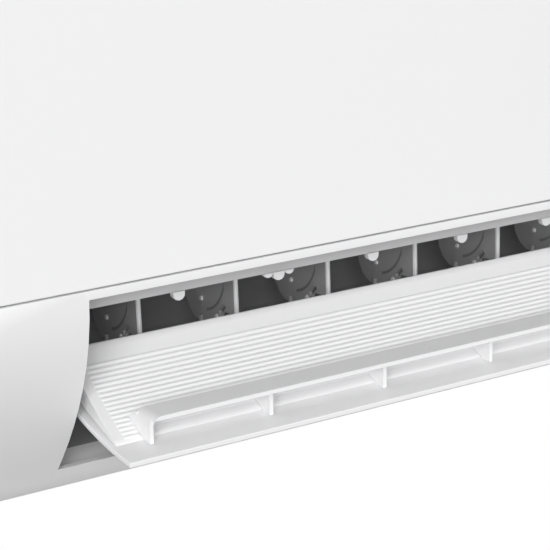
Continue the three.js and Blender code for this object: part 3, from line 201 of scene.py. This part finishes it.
# ---------------------------------------------------------------- settings a user would change

class PlasticSettings(bpy.types.PropertyGroup):
    white: bpy.props.FloatVectorProperty(
        name="White", description="Colour of the white mouldings", subtype="COLOR",
        size=3, min=0, max=1, default=(0.86, 0.86, 0.865))
    vane: bpy.props.FloatVectorProperty(
        name="Vane grey", description="Colour of the vanes' blades", subtype="COLOR",
        size=3, min=0, max=1, default=(0.44, 0.44, 0.445))
    frame: bpy.props.FloatVectorProperty(
        name="Frame grey", description="Colour of the frame over the vanes", subtype="COLOR",
        size=3, min=0, max=1, default=(0.63, 0.63, 0.635))
    # This grey is painted shade, the tone given to the chassis deep inside the duct.
    duct: bpy.props.FloatVectorProperty(
        name="Painted duct shade", description="Colour of the chassis behind the vanes", subtype="COLOR",
        size=3, min=0, max=1, default=(0.31, 0.31, 0.315))
    black: bpy.props.FloatVectorProperty(
        name="Black", description="Colour of the fan and the filters", subtype="COLOR",
        size=3, min=0, max=1, default=(0.035, 0.035, 0.038))
    grain: bpy.props.FloatProperty(
        name="Grain", description="Depth of the fine moulded texture", subtype="DISTANCE", unit="LENGTH",
        min=0, max=0.0005, default=GRAIN_DEPTH * MM, precision=6)


class EdgeSettings(bpy.types.PropertyGroup):
    casing: bpy.props.FloatProperty(
        name="Casing edges", description="Radius on the edges of the casing and the panel",
        subtype="DISTANCE", unit="LENGTH", min=0, default=0.0008, precision=5)
    flap: bpy.props.FloatProperty(
        name="Flap edges", description="Radius on the edges of the flap's skin and fin",
        subtype="DISTANCE", unit="LENGTH", min=0, default=0.0005, precision=5)
    frame: bpy.props.FloatProperty(
        name="Frame edges", description="Radius on the edges of the frame and the vanes",
        subtype="DISTANCE", unit="LENGTH", min=0, default=0.0003, precision=5)


class StageSettings(bpy.types.PropertyGroup):
    floor_drop: bpy.props.FloatProperty(
        name="Floor drop", description="Floor below the unit", subtype="DISTANCE", unit="LENGTH",
        min=0, default=0.25)
    sky: bpy.props.FloatProperty(
        name="Sky", description="Strength of the even light from all round", min=0, default=0.5)
    key: bpy.props.FloatProperty(
        name="Key", description="Strength of the soft light from the left", min=0, default=2.32)
    fill: bpy.props.FloatProperty(
        name="Fill", description="Strength of the soft light from behind", min=0, default=0.5)


# ---------------------------------------------------------------- shader nodes

def math_node(tree, operation, a, b=None, clamp=False):
    node = tree.nodes.new("ShaderNodeMath")
    node.operation = operation
    node.use_clamp = clamp
    for socket, value in zip(node.inputs, (a, b)):
        if value is None:
            continue
        if isinstance(value, (int, float)):
            socket.default_value = value
        else:
            tree.links.new(value, socket)
    return node.outputs[0]


def noise(tree, vector, detail):
    node = tree.nodes.new("ShaderNodeTexNoise")
    node.inputs["Detail"].default_value = detail
    tree.links.new(vector, node.inputs["Vector"])
    return node


def object_place(tree):
    return tree.nodes.new("ShaderNodeTexCoord").outputs["Object"]


def object_axis(tree, axis):
    split = tree.nodes.new("ShaderNodeSeparateXYZ")
    tree.links.new(object_place(tree), split.inputs[0])
    return split.outputs[axis]


def scaled(tree, color, factor):
    """A colour made lighter or darker by a factor."""
    tone = tree.nodes.new("ShaderNodeVectorMath")
    tone.operation = "SCALE"
    tree.links.new(color, tone.inputs[0])
    tree.links.new(factor, tone.inputs["Scale"])
    return tone.outputs[0]


def color_mix(tree, factor, color):
    """Mix that starts from the colour given and goes over to its own input B."""
    mix = tree.nodes.new("ShaderNodeMix")
    mix.data_type = "RGBA"
    tree.links.new(factor, mix.inputs["Factor"])
    tree.links.new(color, mix.inputs["A"])
    return mix


def line_distance(tree, depth, height):
    """Distance to a line along X, given by its point in the section."""
    flat = tree.nodes.new("ShaderNodeVectorMath")
    flat.operation = "MULTIPLY"
    flat.inputs[1].default_value = (0, 1, 1)
    tree.links.new(object_place(tree), flat.inputs[0])
    away = tree.nodes.new("ShaderNodeVectorMath")
    away.operation = "SUBTRACT"
    away.inputs[1].default_value = place(0, depth, height)
    tree.links.new(flat.outputs[0], away.inputs[0])
    length = tree.nodes.new("ShaderNodeVectorMath")
    length.operation = "LENGTH"
    tree.links.new(away.outputs[0], length.inputs[0])
    return length.outputs["Value"]


# ---------------------------------------------------------------- shared finish and materials

def new_group(name, inputs, outputs):
    group = bpy.data.node_groups.new(name, "ShaderNodeTree")
    for label, kind, default in inputs:
        socket = group.interface.new_socket(label, in_out="INPUT", socket_type=kind)
        socket.default_value = default
    for label, kind in outputs:
        group.interface.new_socket(label, in_out="OUTPUT", socket_type=kind)
    return group, group.nodes.new("NodeGroupInput"), group.nodes.new("NodeGroupOutput")


def moulded_finish():
    """Slow drift of tone, faint handling marks and the fine grain of a moulded surface."""
    group, given, out = new_group(
        FINISH,
        [("Color", "NodeSocketColor", (0.8, 0.8, 0.8, 1)), ("Drift", "NodeSocketFloat", DRIFT),
         ("Roughness", "NodeSocketFloat", 0.4), ("Grain Scale", "NodeSocketFloat", GRAIN_SCALE),
         ("Grain Depth", "NodeSocketFloat", GRAIN_DEPTH * MM)],
        [("Color", "NodeSocketColor"), ("Roughness", "NodeSocketFloat"), ("Normal", "NodeSocketVector")])
    point = object_place(group)
    drift = noise(group, point, DRIFT_DETAIL)
    drift.inputs["Scale"].default_value = DRIFT_SCALE
    lift = math_node(group, "SUBTRACT", drift.outputs["Fac"], NOISE_MEAN)
    lift = math_node(group, "MULTIPLY", lift, given.outputs["Drift"])
    lift = math_node(group, "ADD", lift, 1.0)
    group.links.new(scaled(group, given.outputs["Color"], lift), out.inputs["Color"])
    marks = noise(group, point, MARK_DETAIL)
    marks.inputs["Scale"].default_value = MARK_SCALE
    rub = math_node(group, "SUBTRACT", marks.outputs["Fac"], NOISE_MEAN)
    rub = math_node(group, "MULTIPLY", rub, MARK_STRENGTH)
    rub = math_node(group, "ADD", given.outputs["Roughness"], rub, clamp=True)
    group.links.new(rub, out.inputs["Roughness"])
    grain = noise(group, point, GRAIN_DETAIL)
    group.links.new(given.outputs["Grain Scale"], grain.inputs["Scale"])
    bump = group.nodes.new("ShaderNodeBump")
    bump.inputs["Strength"].default_value = 1.0
    group.links.new(grain.outputs["Fac"], bump.inputs["Height"])
    group.links.new(given.outputs["Grain Depth"], bump.inputs["Distance"])
    group.links.new(bump.outputs["Normal"], out.inputs["Normal"])


def new_material(name):
    material = bpy.data.materials.new(name)
    material.use_nodes = True
    tree = material.node_tree
    return material, tree, tree.nodes["Principled BSDF"]


def add_finish(tree, color, roughness, drift=DRIFT, grain_scale=GRAIN_SCALE, grain_depth=GRAIN_DEPTH * MM):
    """The shared finish with its own values. Its grain depth is in metres."""
    node = tree.nodes.new("ShaderNodeGroup")
    node.node_tree = bpy.data.node_groups[FINISH]
    values = {"Color": (*color, 1), "Drift": drift, "Roughness": roughness,
              "Grain Scale": grain_scale, "Grain Depth": grain_depth}
    for label, value in values.items():
        node.inputs[label].default_value = value
    return node


def moulded(name, color, roughness, **finish):
    """A moulded plastic: colour, roughness and grain come from the shared finish."""
    material, tree, shader = new_material(name)
    node = add_finish(tree, color, roughness, **finish)
    tree.links.new(node.outputs["Color"], shader.inputs["Base Color"])
    tree.links.new(node.outputs["Roughness"], shader.inputs["Roughness"])
    tree.links.new(node.outputs["Normal"], shader.inputs["Normal"])
    return material


def two_tone(name, front, back, edges, roughness):
    """Plastic that changes colour where it passes any of the given places on its axes."""
    material = moulded(name, front, roughness)
    tree = material.node_tree
    shader = tree.nodes["Principled BSDF"]
    past = None
    for axis, edge in edges:
        beyond = math_node(tree, "GREATER_THAN", object_axis(tree, axis), edge)
        past = beyond if past is None else math_node(tree, "MAXIMUM", past, beyond)
    mix = color_mix(tree, past, shader.inputs["Base Color"].links[0].from_socket)
    tree.links.new(add_finish(tree, back, roughness).outputs["Color"], mix.inputs["B"])
    tree.links.new(mix.outputs["Result"], shader.inputs["Base Color"])
    return material


def vane_plastic(name, front, back, edge):
    """Vane plastic: light front bar, light pin ends, and painted shade in a curved line where each face has
    its groove.
    """
    material = two_tone(name, front, back, [("Y", edge)], 0.5)
    tree = material.node_tree
    shader = tree.nodes["Principled BSDF"]
    plain = shader.inputs["Base Color"].links[0].from_socket
    pins = [math_node(tree, "LESS_THAN", line_distance(tree, *pin), PIN_REACH * MM) for pin in VANE_PINS]
    # Painted shade: a thin ring on each face is darkened where its groove lies, as the groove itself is not
    # modelled.
    ring = math_node(tree, "SUBTRACT", line_distance(tree, *GROOVE_CENTRE), GROOVE_RADIUS * MM)
    ring = math_node(tree, "LESS_THAN", math_node(tree, "ABSOLUTE", ring), GROOVE_HALF * MM)
    ahead = math_node(tree, "LESS_THAN", object_axis(tree, "Y"), (GROOVE_REAR + SECTION_DEPTH) * MM)
    behind = math_node(tree, "GREATER_THAN", object_axis(tree, "Y"), (GROOVE_FRONT + SECTION_DEPTH) * MM)
    groove = math_node(tree, "MULTIPLY", ring, math_node(tree, "MULTIPLY", ahead, behind))
    shade = math_node(tree, "SUBTRACT", 1.0, math_node(tree, "MULTIPLY", groove, GROOVE_SHADE))
    mix = color_mix(tree, math_node(tree, "MAXIMUM", *pins), scaled(tree, plain, shade))
    mix.inputs["B"].default_value = (*front, 1)
    tree.links.new(mix.outputs["Result"], shader.inputs["Base Color"])
    return material


def metal(name, color, roughness, stripes=None, **finish):
    """A metal with the shared finish, and where asked for fine stripes across one axis, which paint shade in
    the gaps between a coil's fins.
    """
    material = moulded(name, color, roughness, **finish)
    tree = material.node_tree
    shader = tree.nodes["Principled BSDF"]
    shader.inputs["Metallic"].default_value = 1.0
    if stripes is None:
        return material
    axis, pitch = stripes
    # Painted shade between the fins, with a bump at the same pitch.
    wave = math_node(tree, "MULTIPLY", object_axis(tree, axis), 2 * math.pi / (pitch * MM))
    wave = math_node(tree, "SINE", wave)
    shade = math_node(tree, "MULTIPLY", wave, FIN_GAP_SHADE)
    shade = math_node(tree, "ADD", shade, STRIPE_TONE)
    color = scaled(tree, shader.inputs["Base Color"].links[0].from_socket, shade)
    tree.links.new(color, shader.inputs["Base Color"])
    bump = tree.nodes.new("ShaderNodeBump")
    bump.inputs["Distance"].default_value = STRIPE_DEPTH * MM
    tree.links.new(wave, bump.inputs["Height"])
    tree.links.new(shader.inputs["Normal"].links[0].from_socket, bump.inputs["Normal"])
    tree.links.new(bump.outputs["Normal"], shader.inputs["Normal"])
    return material


def board_material(name, color):
    """Lacquered circuit board with the faint lines of its copper tracks."""
    material, tree, shader = new_material(name)
    brick = tree.nodes.new("ShaderNodeTexBrick")
    brick.inputs["Scale"].default_value = TRACK_SCALE
    brick.inputs["Mortar Size"].default_value = TRACK_WIDTH
    brick.inputs["Color1"].default_value = (*color, 1)
    brick.inputs["Color2"].default_value = (*[c * BOARD_SHADE for c in color], 1)
    brick.inputs["Mortar"].default_value = (*[min(c * TRACK_GAIN + TRACK_LIFT, 1) for c in color], 1)
    turn = tree.nodes.new("ShaderNodeMapping")
    turn.inputs["Rotation"].default_value = (math.pi / 2, 0, 0)
    tree.links.new(object_place(tree), turn.inputs["Vector"])
    tree.links.new(turn.outputs["Vector"], brick.inputs["Vector"])
    tree.links.new(brick.outputs["Color"], shader.inputs["Base Color"])
    shader.inputs["Roughness"].default_value = BOARD_ROUGHNESS
    return material


MATERIALS = {}


def make_materials(settings):
    moulded_finish()
    white = settings.white
    bar_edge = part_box(VANES[0])[0].y + BAR_DEPTH * MM
    band_edges = [("Y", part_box("outlet_frame")[0].y + LUG_STAND * MM), ("Z", LUG_TOP * MM)]
    duct_shade_edge = [("Y", DUCT_SHADE_FRONT * MM)]
    MATERIALS.update({
        "white_plastic": moulded("White plastic", white, 0.38, drift=0.02, grain_depth=settings.grain),
        "vane_grey": vane_plastic("Vane plastic", white, settings.vane, bar_edge),
        "frame_grey": two_tone("Frame plastic", white, settings.frame, band_edges, 0.5),
        # White chassis in front, and painted shade behind the given depth, deep in the duct.
        "duct": two_tone("Duct plastic with painted shade", white, settings.duct, duct_shade_edge, 0.55),
        "black_plastic": moulded("Black plastic", settings.black, 0.5, drift=0.1),
        "rubber": moulded("Rubber", (0.025, 0.025, 0.025), 0.75, drift=0.2),
        "zinc": metal("Zinc plate", (0.6, 0.61, 0.62), 0.38,
                      drift=0.25, grain_scale=300.0, grain_depth=0.00005),
        "aluminium": metal("Coil fins", (0.78, 0.79, 0.8), 0.35, FIN_STRIPES,
                           drift=0.1, grain_scale=800.0, grain_depth=0.00002),
        "copper": metal("Copper tube", (0.66, 0.33, 0.2), 0.32,
                        drift=0.4, grain_scale=200.0, grain_depth=0.00004),
        "brass": metal("Brass", (0.62, 0.46, 0.2), 0.3,
                       drift=0.2, grain_scale=500.0, grain_depth=0.00002),
        "board_green": board_material("Circuit board", (0.03, 0.16, 0.06)),
    })


def paint(piece, material):
    piece.data.materials.clear()
    piece.data.materials.append(material)


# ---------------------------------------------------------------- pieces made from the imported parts

def welded(node):
    """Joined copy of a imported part's mesh, with each flat face in one piece."""
    sheet = bmesh.new()
    sheet.from_mesh(NODES[node].data)
    bmesh.ops.remove_doubles(sheet, verts=sheet.verts, dist=WELD * MM)
    bmesh.ops.dissolve_limit(
        sheet, angle_limit=math.radians(FLAT_ANGLE), verts=sheet.verts, edges=sheet.edges)
    bmesh.ops.recalc_face_normals(sheet, faces=sheet.faces)
    return sheet


def finish_piece(sheet, name, node, radius, smooth=30.0):
    """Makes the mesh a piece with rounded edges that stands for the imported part."""
    for face in sheet.faces:
        face.smooth = True
    mesh = bpy.data.meshes.new(name)
    sheet.to_mesh(mesh)
    sheet.free()
    mesh.set_sharp_from_angle(angle=math.radians(smooth))
    piece = bpy.data.objects.new(name, mesh)
    bpy.context.scene.collection.objects.link(piece)
    paint(piece, MATERIALS[SLOT_OF[node]])
    if radius > 0:
        bevel = piece.modifiers.new("Edge radius", "BEVEL")
        bevel.width = radius
        bevel.segments = EDGE_SEGMENTS
        bevel.limit_method = "ANGLE"
        bevel.angle_limit = math.radians(EDGE_ANGLE)
        bevel.harden_normals = True
    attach(piece, BODY_OF[node])
    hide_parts(node)


def place(x, depth, height):
    """A point of the section, at its place in the frame."""
    return Vector((x, depth + SECTION_DEPTH, height + SECTION_HEIGHT)) * MM


def add_strip(sheet, section, x0, x1):
    """A closed section drawn out along X."""
    ends = [[sheet.verts.new(place(x, *point)) for point in section] for x in (x0, x1)]
    count = len(section)
    for i in range(count):
        j = (i + 1) % count
        sheet.faces.new((ends[0][i], ends[0][j], ends[1][j], ends[1][i]))
    sheet.faces.new(list(reversed(ends[0])))
    sheet.faces.new(ends[1])


def bezier_point(ends, t):
    weights = ((1 - t) ** 3, 3 * t * (1 - t) ** 2, 3 * t * t * (1 - t), t ** 3)
    return [sum(weight * point[k] for weight, point in zip(weights, ends)) for k in (0, 1)]


def guide_face(steps):
    return [bezier_point(GUIDE_FACE, i / steps) for i in range(steps + 1)]


def face_line():
    """Points along the guide's upper face, with the length run so far."""
    points = guide_face(FACE_STEPS)
    lengths = [0.0]
    for a, b in zip(points, points[1:]):
        lengths.append(lengths[-1] + math.dist(a, b))
    return points, lengths


def on_face(line, distance, lift):
    """Section point at a distance along the upper face, lifted square to it."""
    points, lengths = line
    i = next((k for k, length in enumerate(lengths) if length >= distance), len(points) - 1) or 1
    a, b = points[i - 1], points[i]
    size = math.dist(a, b)
    t = (distance - lengths[i - 1]) / size
    run = ((b[0] - a[0]) / size, (b[1] - a[1]) / size)
    return (a[0] + (b[0] - a[0]) * t - run[1] * lift, a[1] + (b[1] - a[1]) * t + run[0] * lift)


def add_ridge(sheet, line, start, x0, x1):
    """One low round ridge across the guide, rounded down to nothing at both ends."""
    rings = [(x0 + run, share) for run, share in RIDGE_TAPER]
    rings += [(x1 - run, share) for run, share in reversed(RIDGE_TAPER)]
    width = RIDGE_PITCH * RIDGE_FILL
    rows = []
    for x, share in rings:
        row = []
        for k in range(RIDGE_STEPS + 1):
            lift = RIDGE_RISE * share * math.sin(math.pi * k / RIDGE_STEPS) - RIDGE_ROOT
            row.append(sheet.verts.new(place(x, *on_face(line, start + width * k / RIDGE_STEPS, lift))))
        rows.append(row)
    for a, b in zip(rows, rows[1:]):
        for k in range(RIDGE_STEPS):
            sheet.faces.new((a[k], a[k + 1], b[k + 1], b[k]))


def ridged_guide():
    """The flap's guide: a curved board with fine round ridges that stop short of its ends and of the fin."""
    sheet = bmesh.new()
    add_strip(sheet, [*guide_face(GUIDE_STEPS), *GUIDE_CREST, *GUIDE_FOOT], -GUIDE_END, GUIDE_END)
    line = face_line()
    for i in range(RIDGE_COUNT):
        start = RIDGE_START + i * RIDGE_PITCH
        if on_face(line, start, 0)[0] > FIN_REAR:
            add_ridge(sheet, line, start, -RIDGE_END, RIDGE_END)
        else:
            add_ridge(sheet, line, start, -RIDGE_END, -FIN_END - FIN_GAP)
            add_ridge(sheet, line, start, FIN_END + FIN_GAP, RIDGE_END)
    bmesh.ops.recalc_face_normals(sheet, faces=sheet.faces)
    return sheet


def coved_fin():
    """The raised fin, its pockets run farther back and closed by a curved wall."""
    sheet = welded("flap_fin")
    for vert in sheet.verts:
        depth = vert.co.y / MM - SECTION_DEPTH
        height = vert.co.z / MM - SECTION_HEIGHT
        rear = BACK_WALL + max(BACK_WALL_TOP - height, 0) * BACK_WALL_LEAN
        between = abs(vert.co.x) < (FIN_END - WALL_REACH) * MM
        in_pocket = POCKET_FRONT < depth < rear - WALL_REACH and POCKET_FLOOR < height < POCKET_CEILING
        if between and in_pocket:
            vert.co.y += min(POCKET_BACK, rear - WALL_LEAST - depth) * MM
    webs = [-FIN_END + i * FIN_WEB_PITCH for i in range(FIN_WEBS + 1)]
    webs += [-x for x in reversed(webs)]
    for x0, x1 in zip(webs, webs[1:]):
        add_strip(sheet, COVE, x0 + COVE_INSET, x1 - COVE_INSET)
    bmesh.ops.recalc_face_normals(sheet, faces=sheet.faces)
    return sheet


def lowered_panel():
    """The front panel, its lower edge brought down to the rim."""
    sheet = welded("front_panel")
    bottom = min(vert.co.z for vert in sheet.verts)
    for vert in sheet.verts:
        if vert.co.z < bottom + EDGE_BAND * MM:
            vert.co.z -= SEAM_OVERLAP * MM
    return sheet


def lugged_frame():
    """The outlet frame, its small lugs closer to the large ones and all lugs cut off at the band's edge."""
    sheet = welded("outlet_frame")
    front = min(vert.co.y for vert in sheet.verts)
    near, far = BUMP_SPAN
    for centre in SCREW_LUGS:
        for vert in sheet.verts:
            away = vert.co.x - centre * MM
            if vert.co.y < front + LUG_DEPTH * MM and near * MM < abs(away) < far * MM:
                vert.co.x -= math.copysign(BUMP_SHIFT * MM, away)
    for vert in sheet.verts:
        if vert.co.y < front + LUG_FACE * MM and abs(vert.co.z - LUG_SHOULDER * MM) < LUG_LAP * MM:
            vert.co.z = (LUG_TOP + LUG_LAP) * MM
    return sheet


class UNIT_OT_materials(bpy.types.Operator):
    """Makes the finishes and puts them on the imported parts"""
    bl_idname = "indoor_unit.materials"
    bl_label = "Finishes"

    def execute(self, context):
        make_materials(context.scene.unit_plastics)
        for node, piece in NODES.items():
            paint(piece, MATERIALS[SLOT_OF[node]])
        # The chassis gets the duct plastic, with its painted shade deep in the duct.
        paint(NODES["chassis"], MATERIALS["duct"])
        return {"FINISHED"}


class UNIT_OT_casing(bpy.types.Operator):
    """Casing and front panel with softened edges"""
    bl_idname = "indoor_unit.casing"
    bl_label = "Casing and panel"

    def execute(self, context):
        radius = context.scene.unit_edges.casing
        finish_piece(welded("front_casing"), "casing_moulding", "front_casing", radius)
        finish_piece(lowered_panel(), "panel_moulding", "front_panel", radius)
        return {"FINISHED"}


class UNIT_OT_flap(bpy.types.Operator):
    """Flap skin, ridged guide and raised fin"""
    bl_idname = "indoor_unit.flap"
    bl_label = "Flap"

    def execute(self, context):
        radius = context.scene.unit_edges.flap
        finish_piece(welded("flap_skin"), "flap_skin_moulding", "flap_skin", radius)
        finish_piece(ridged_guide(), "flap_guide_moulding", "flap_guide", 0, smooth=35.0)
        finish_piece(coved_fin(), "flap_fin_moulding", "flap_fin", radius, smooth=40.0)
        return {"FINISHED"}


class UNIT_OT_frame(bpy.types.Operator):
    """Outlet frame with its row of lugs"""
    bl_idname = "indoor_unit.frame"
    bl_label = "Outlet frame"

    def execute(self, context):
        finish_piece(lugged_frame(), "frame_moulding", "outlet_frame", context.scene.unit_edges.frame)
        return {"FINISHED"}


class UNIT_OT_vanes(bpy.types.Operator):
    """Upright vanes with light front bars"""
    bl_idname = "indoor_unit.vanes"
    bl_label = "Vanes"

    def execute(self, context):
        radius = context.scene.unit_edges.frame
        for node in VANES:
            finish_piece(welded(node), node + "_moulding", node, radius)
        return {"FINISHED"}


class UNIT_OT_stage(bpy.types.Operator):
    """Pale floor, soft lights and the photograph's camera"""
    bl_idname = "indoor_unit.stage"
    bl_label = "Stage"

    def execute(self, context):
        settings = context.scene.unit_stage
        make_floor(settings.floor_drop)
        make_world(settings.sky)
        soft_sun("Key light", KEY_FROM, settings.key, KEY_SPREAD)
        soft_sun("Back light", BACK_FROM, settings.fill, BACK_SPREAD)
        make_camera()
        context.scene.view_settings.view_transform = "Standard"
        return {"FINISHED"}


# ---------------------------------------------------------------- stage

def white_to_camera(tree, shaded, white, out):
    """Shows plain white to the camera, in mirrors and through glass, and what is shaded to other rays."""
    path = tree.nodes.new("ShaderNodeLightPath")
    seen = math_node(tree, "MAXIMUM", path.outputs["Is Camera Ray"], path.outputs["Is Glossy Ray"])
    seen = math_node(tree, "MAXIMUM", seen, path.outputs["Is Transmission Ray"])
    mix = tree.nodes.new("ShaderNodeMixShader")
    for socket, value in zip(mix.inputs, (seen, shaded.outputs[0], white.outputs[0])):
        tree.links.new(value, socket)
    tree.links.new(mix.outputs[0], tree.nodes[out].inputs["Surface"])


def make_floor(drop):
    sheet = bmesh.new()
    bmesh.ops.create_grid(sheet, x_segments=1, y_segments=1, size=FLOOR_HALF)
    bmesh.ops.translate(sheet, verts=sheet.verts, vec=(0, 0, CAD_BOX[0].z - drop))
    mesh = bpy.data.meshes.new("floor")
    sheet.to_mesh(mesh)
    sheet.free()
    floor = bpy.data.objects.new("floor", mesh)
    bpy.context.scene.collection.objects.link(floor)
    material, tree, shader = new_material("Pale floor")
    shader.inputs["Base Color"].default_value = (FLOOR_TONE, FLOOR_TONE, FLOOR_TONE, 1)
    shader.inputs["Roughness"].default_value = FLOOR_ROUGHNESS
    glow = tree.nodes.new("ShaderNodeEmission")
    glow.inputs["Strength"].default_value = 1.0
    white_to_camera(tree, shader, glow, "Material Output")
    paint(floor, material)


def make_world(strength):
    world = bpy.data.worlds.new("Studio")
    world.use_nodes = True
    tree = world.node_tree
    dome = tree.nodes["Background"]
    white = tree.nodes.new("ShaderNodeBackground")
    for node, level in ((dome, strength), (white, 1.0)):
        node.inputs["Color"].default_value = (1, 1, 1, 1)
        node.inputs["Strength"].default_value = level
    white_to_camera(tree, dome, white, "World Output")
    bpy.context.scene.world = world


def soft_sun(name, towards, strength, spread):
    lamp = bpy.data.lights.new(name, "SUN")
    lamp.energy = strength
    lamp.angle = math.radians(spread)
    sun = bpy.data.objects.new(name, lamp)
    sun.rotation_mode = "QUATERNION"
    sun.rotation_quaternion = Vector(towards).to_track_quat("Z", "Y")
    bpy.context.scene.collection.objects.link(sun)


def make_camera():
    lens = bpy.data.cameras.new("Photo camera")
    lens.lens = CAMERA_LENS
    lens.sensor_width = CAMERA_SENSOR
    lens.clip_start = CAMERA_NEAR
    camera = bpy.data.objects.new("Photo camera", lens)
    turn = Matrix((CAMERA_RIGHT, CAMERA_UP, CAMERA_RIGHT.cross(CAMERA_UP))).transposed()
    camera.matrix_world = Matrix.Translation(CAMERA_PLACE) @ turn.to_4x4()
    bpy.context.scene.collection.objects.link(camera)
    bpy.context.scene.camera = camera


# ---------------------------------------------------------------- panel and registration

OPERATORS = (UNIT_OT_materials, UNIT_OT_casing, UNIT_OT_flap, UNIT_OT_frame, UNIT_OT_vanes, UNIT_OT_stage)


class UNIT_PT_sidebar(bpy.types.Panel):
    """Settings and pieces of the indoor unit"""
    bl_idname = "UNIT_PT_sidebar"
    bl_label = "Indoor unit"
    bl_space_type = "VIEW_3D"
    bl_region_type = "UI"
    bl_category = "Indoor unit"

    def draw(self, context):
        for settings in (context.scene.unit_plastics, context.scene.unit_edges, context.scene.unit_stage):
            for name in settings.__annotations__:
                self.layout.prop(settings, name)
        for operator in OPERATORS:
            self.layout.operator(operator.bl_idname)


SETTINGS = {"unit_plastics": PlasticSettings, "unit_edges": EdgeSettings, "unit_stage": StageSettings}
CLASSES = (*SETTINGS.values(), *OPERATORS, UNIT_PT_sidebar)


def register():
    for cls in CLASSES:
        bpy.utils.register_class(cls)
    for name, cls in SETTINGS.items():
        setattr(bpy.types.Scene, name, bpy.props.PointerProperty(type=cls))


def unregister():
    for name in SETTINGS:
        delattr(bpy.types.Scene, name)
    for cls in reversed(CLASSES):
        bpy.utils.unregister_class(cls)


def main():
    register()
    bpy.ops.indoor_unit.materials()
    bpy.ops.indoor_unit.casing()
    bpy.ops.indoor_unit.flap()
    bpy.ops.indoor_unit.frame()
    bpy.ops.indoor_unit.vanes()
    bpy.ops.indoor_unit.stage()


if __name__ == "__main__":
    main()
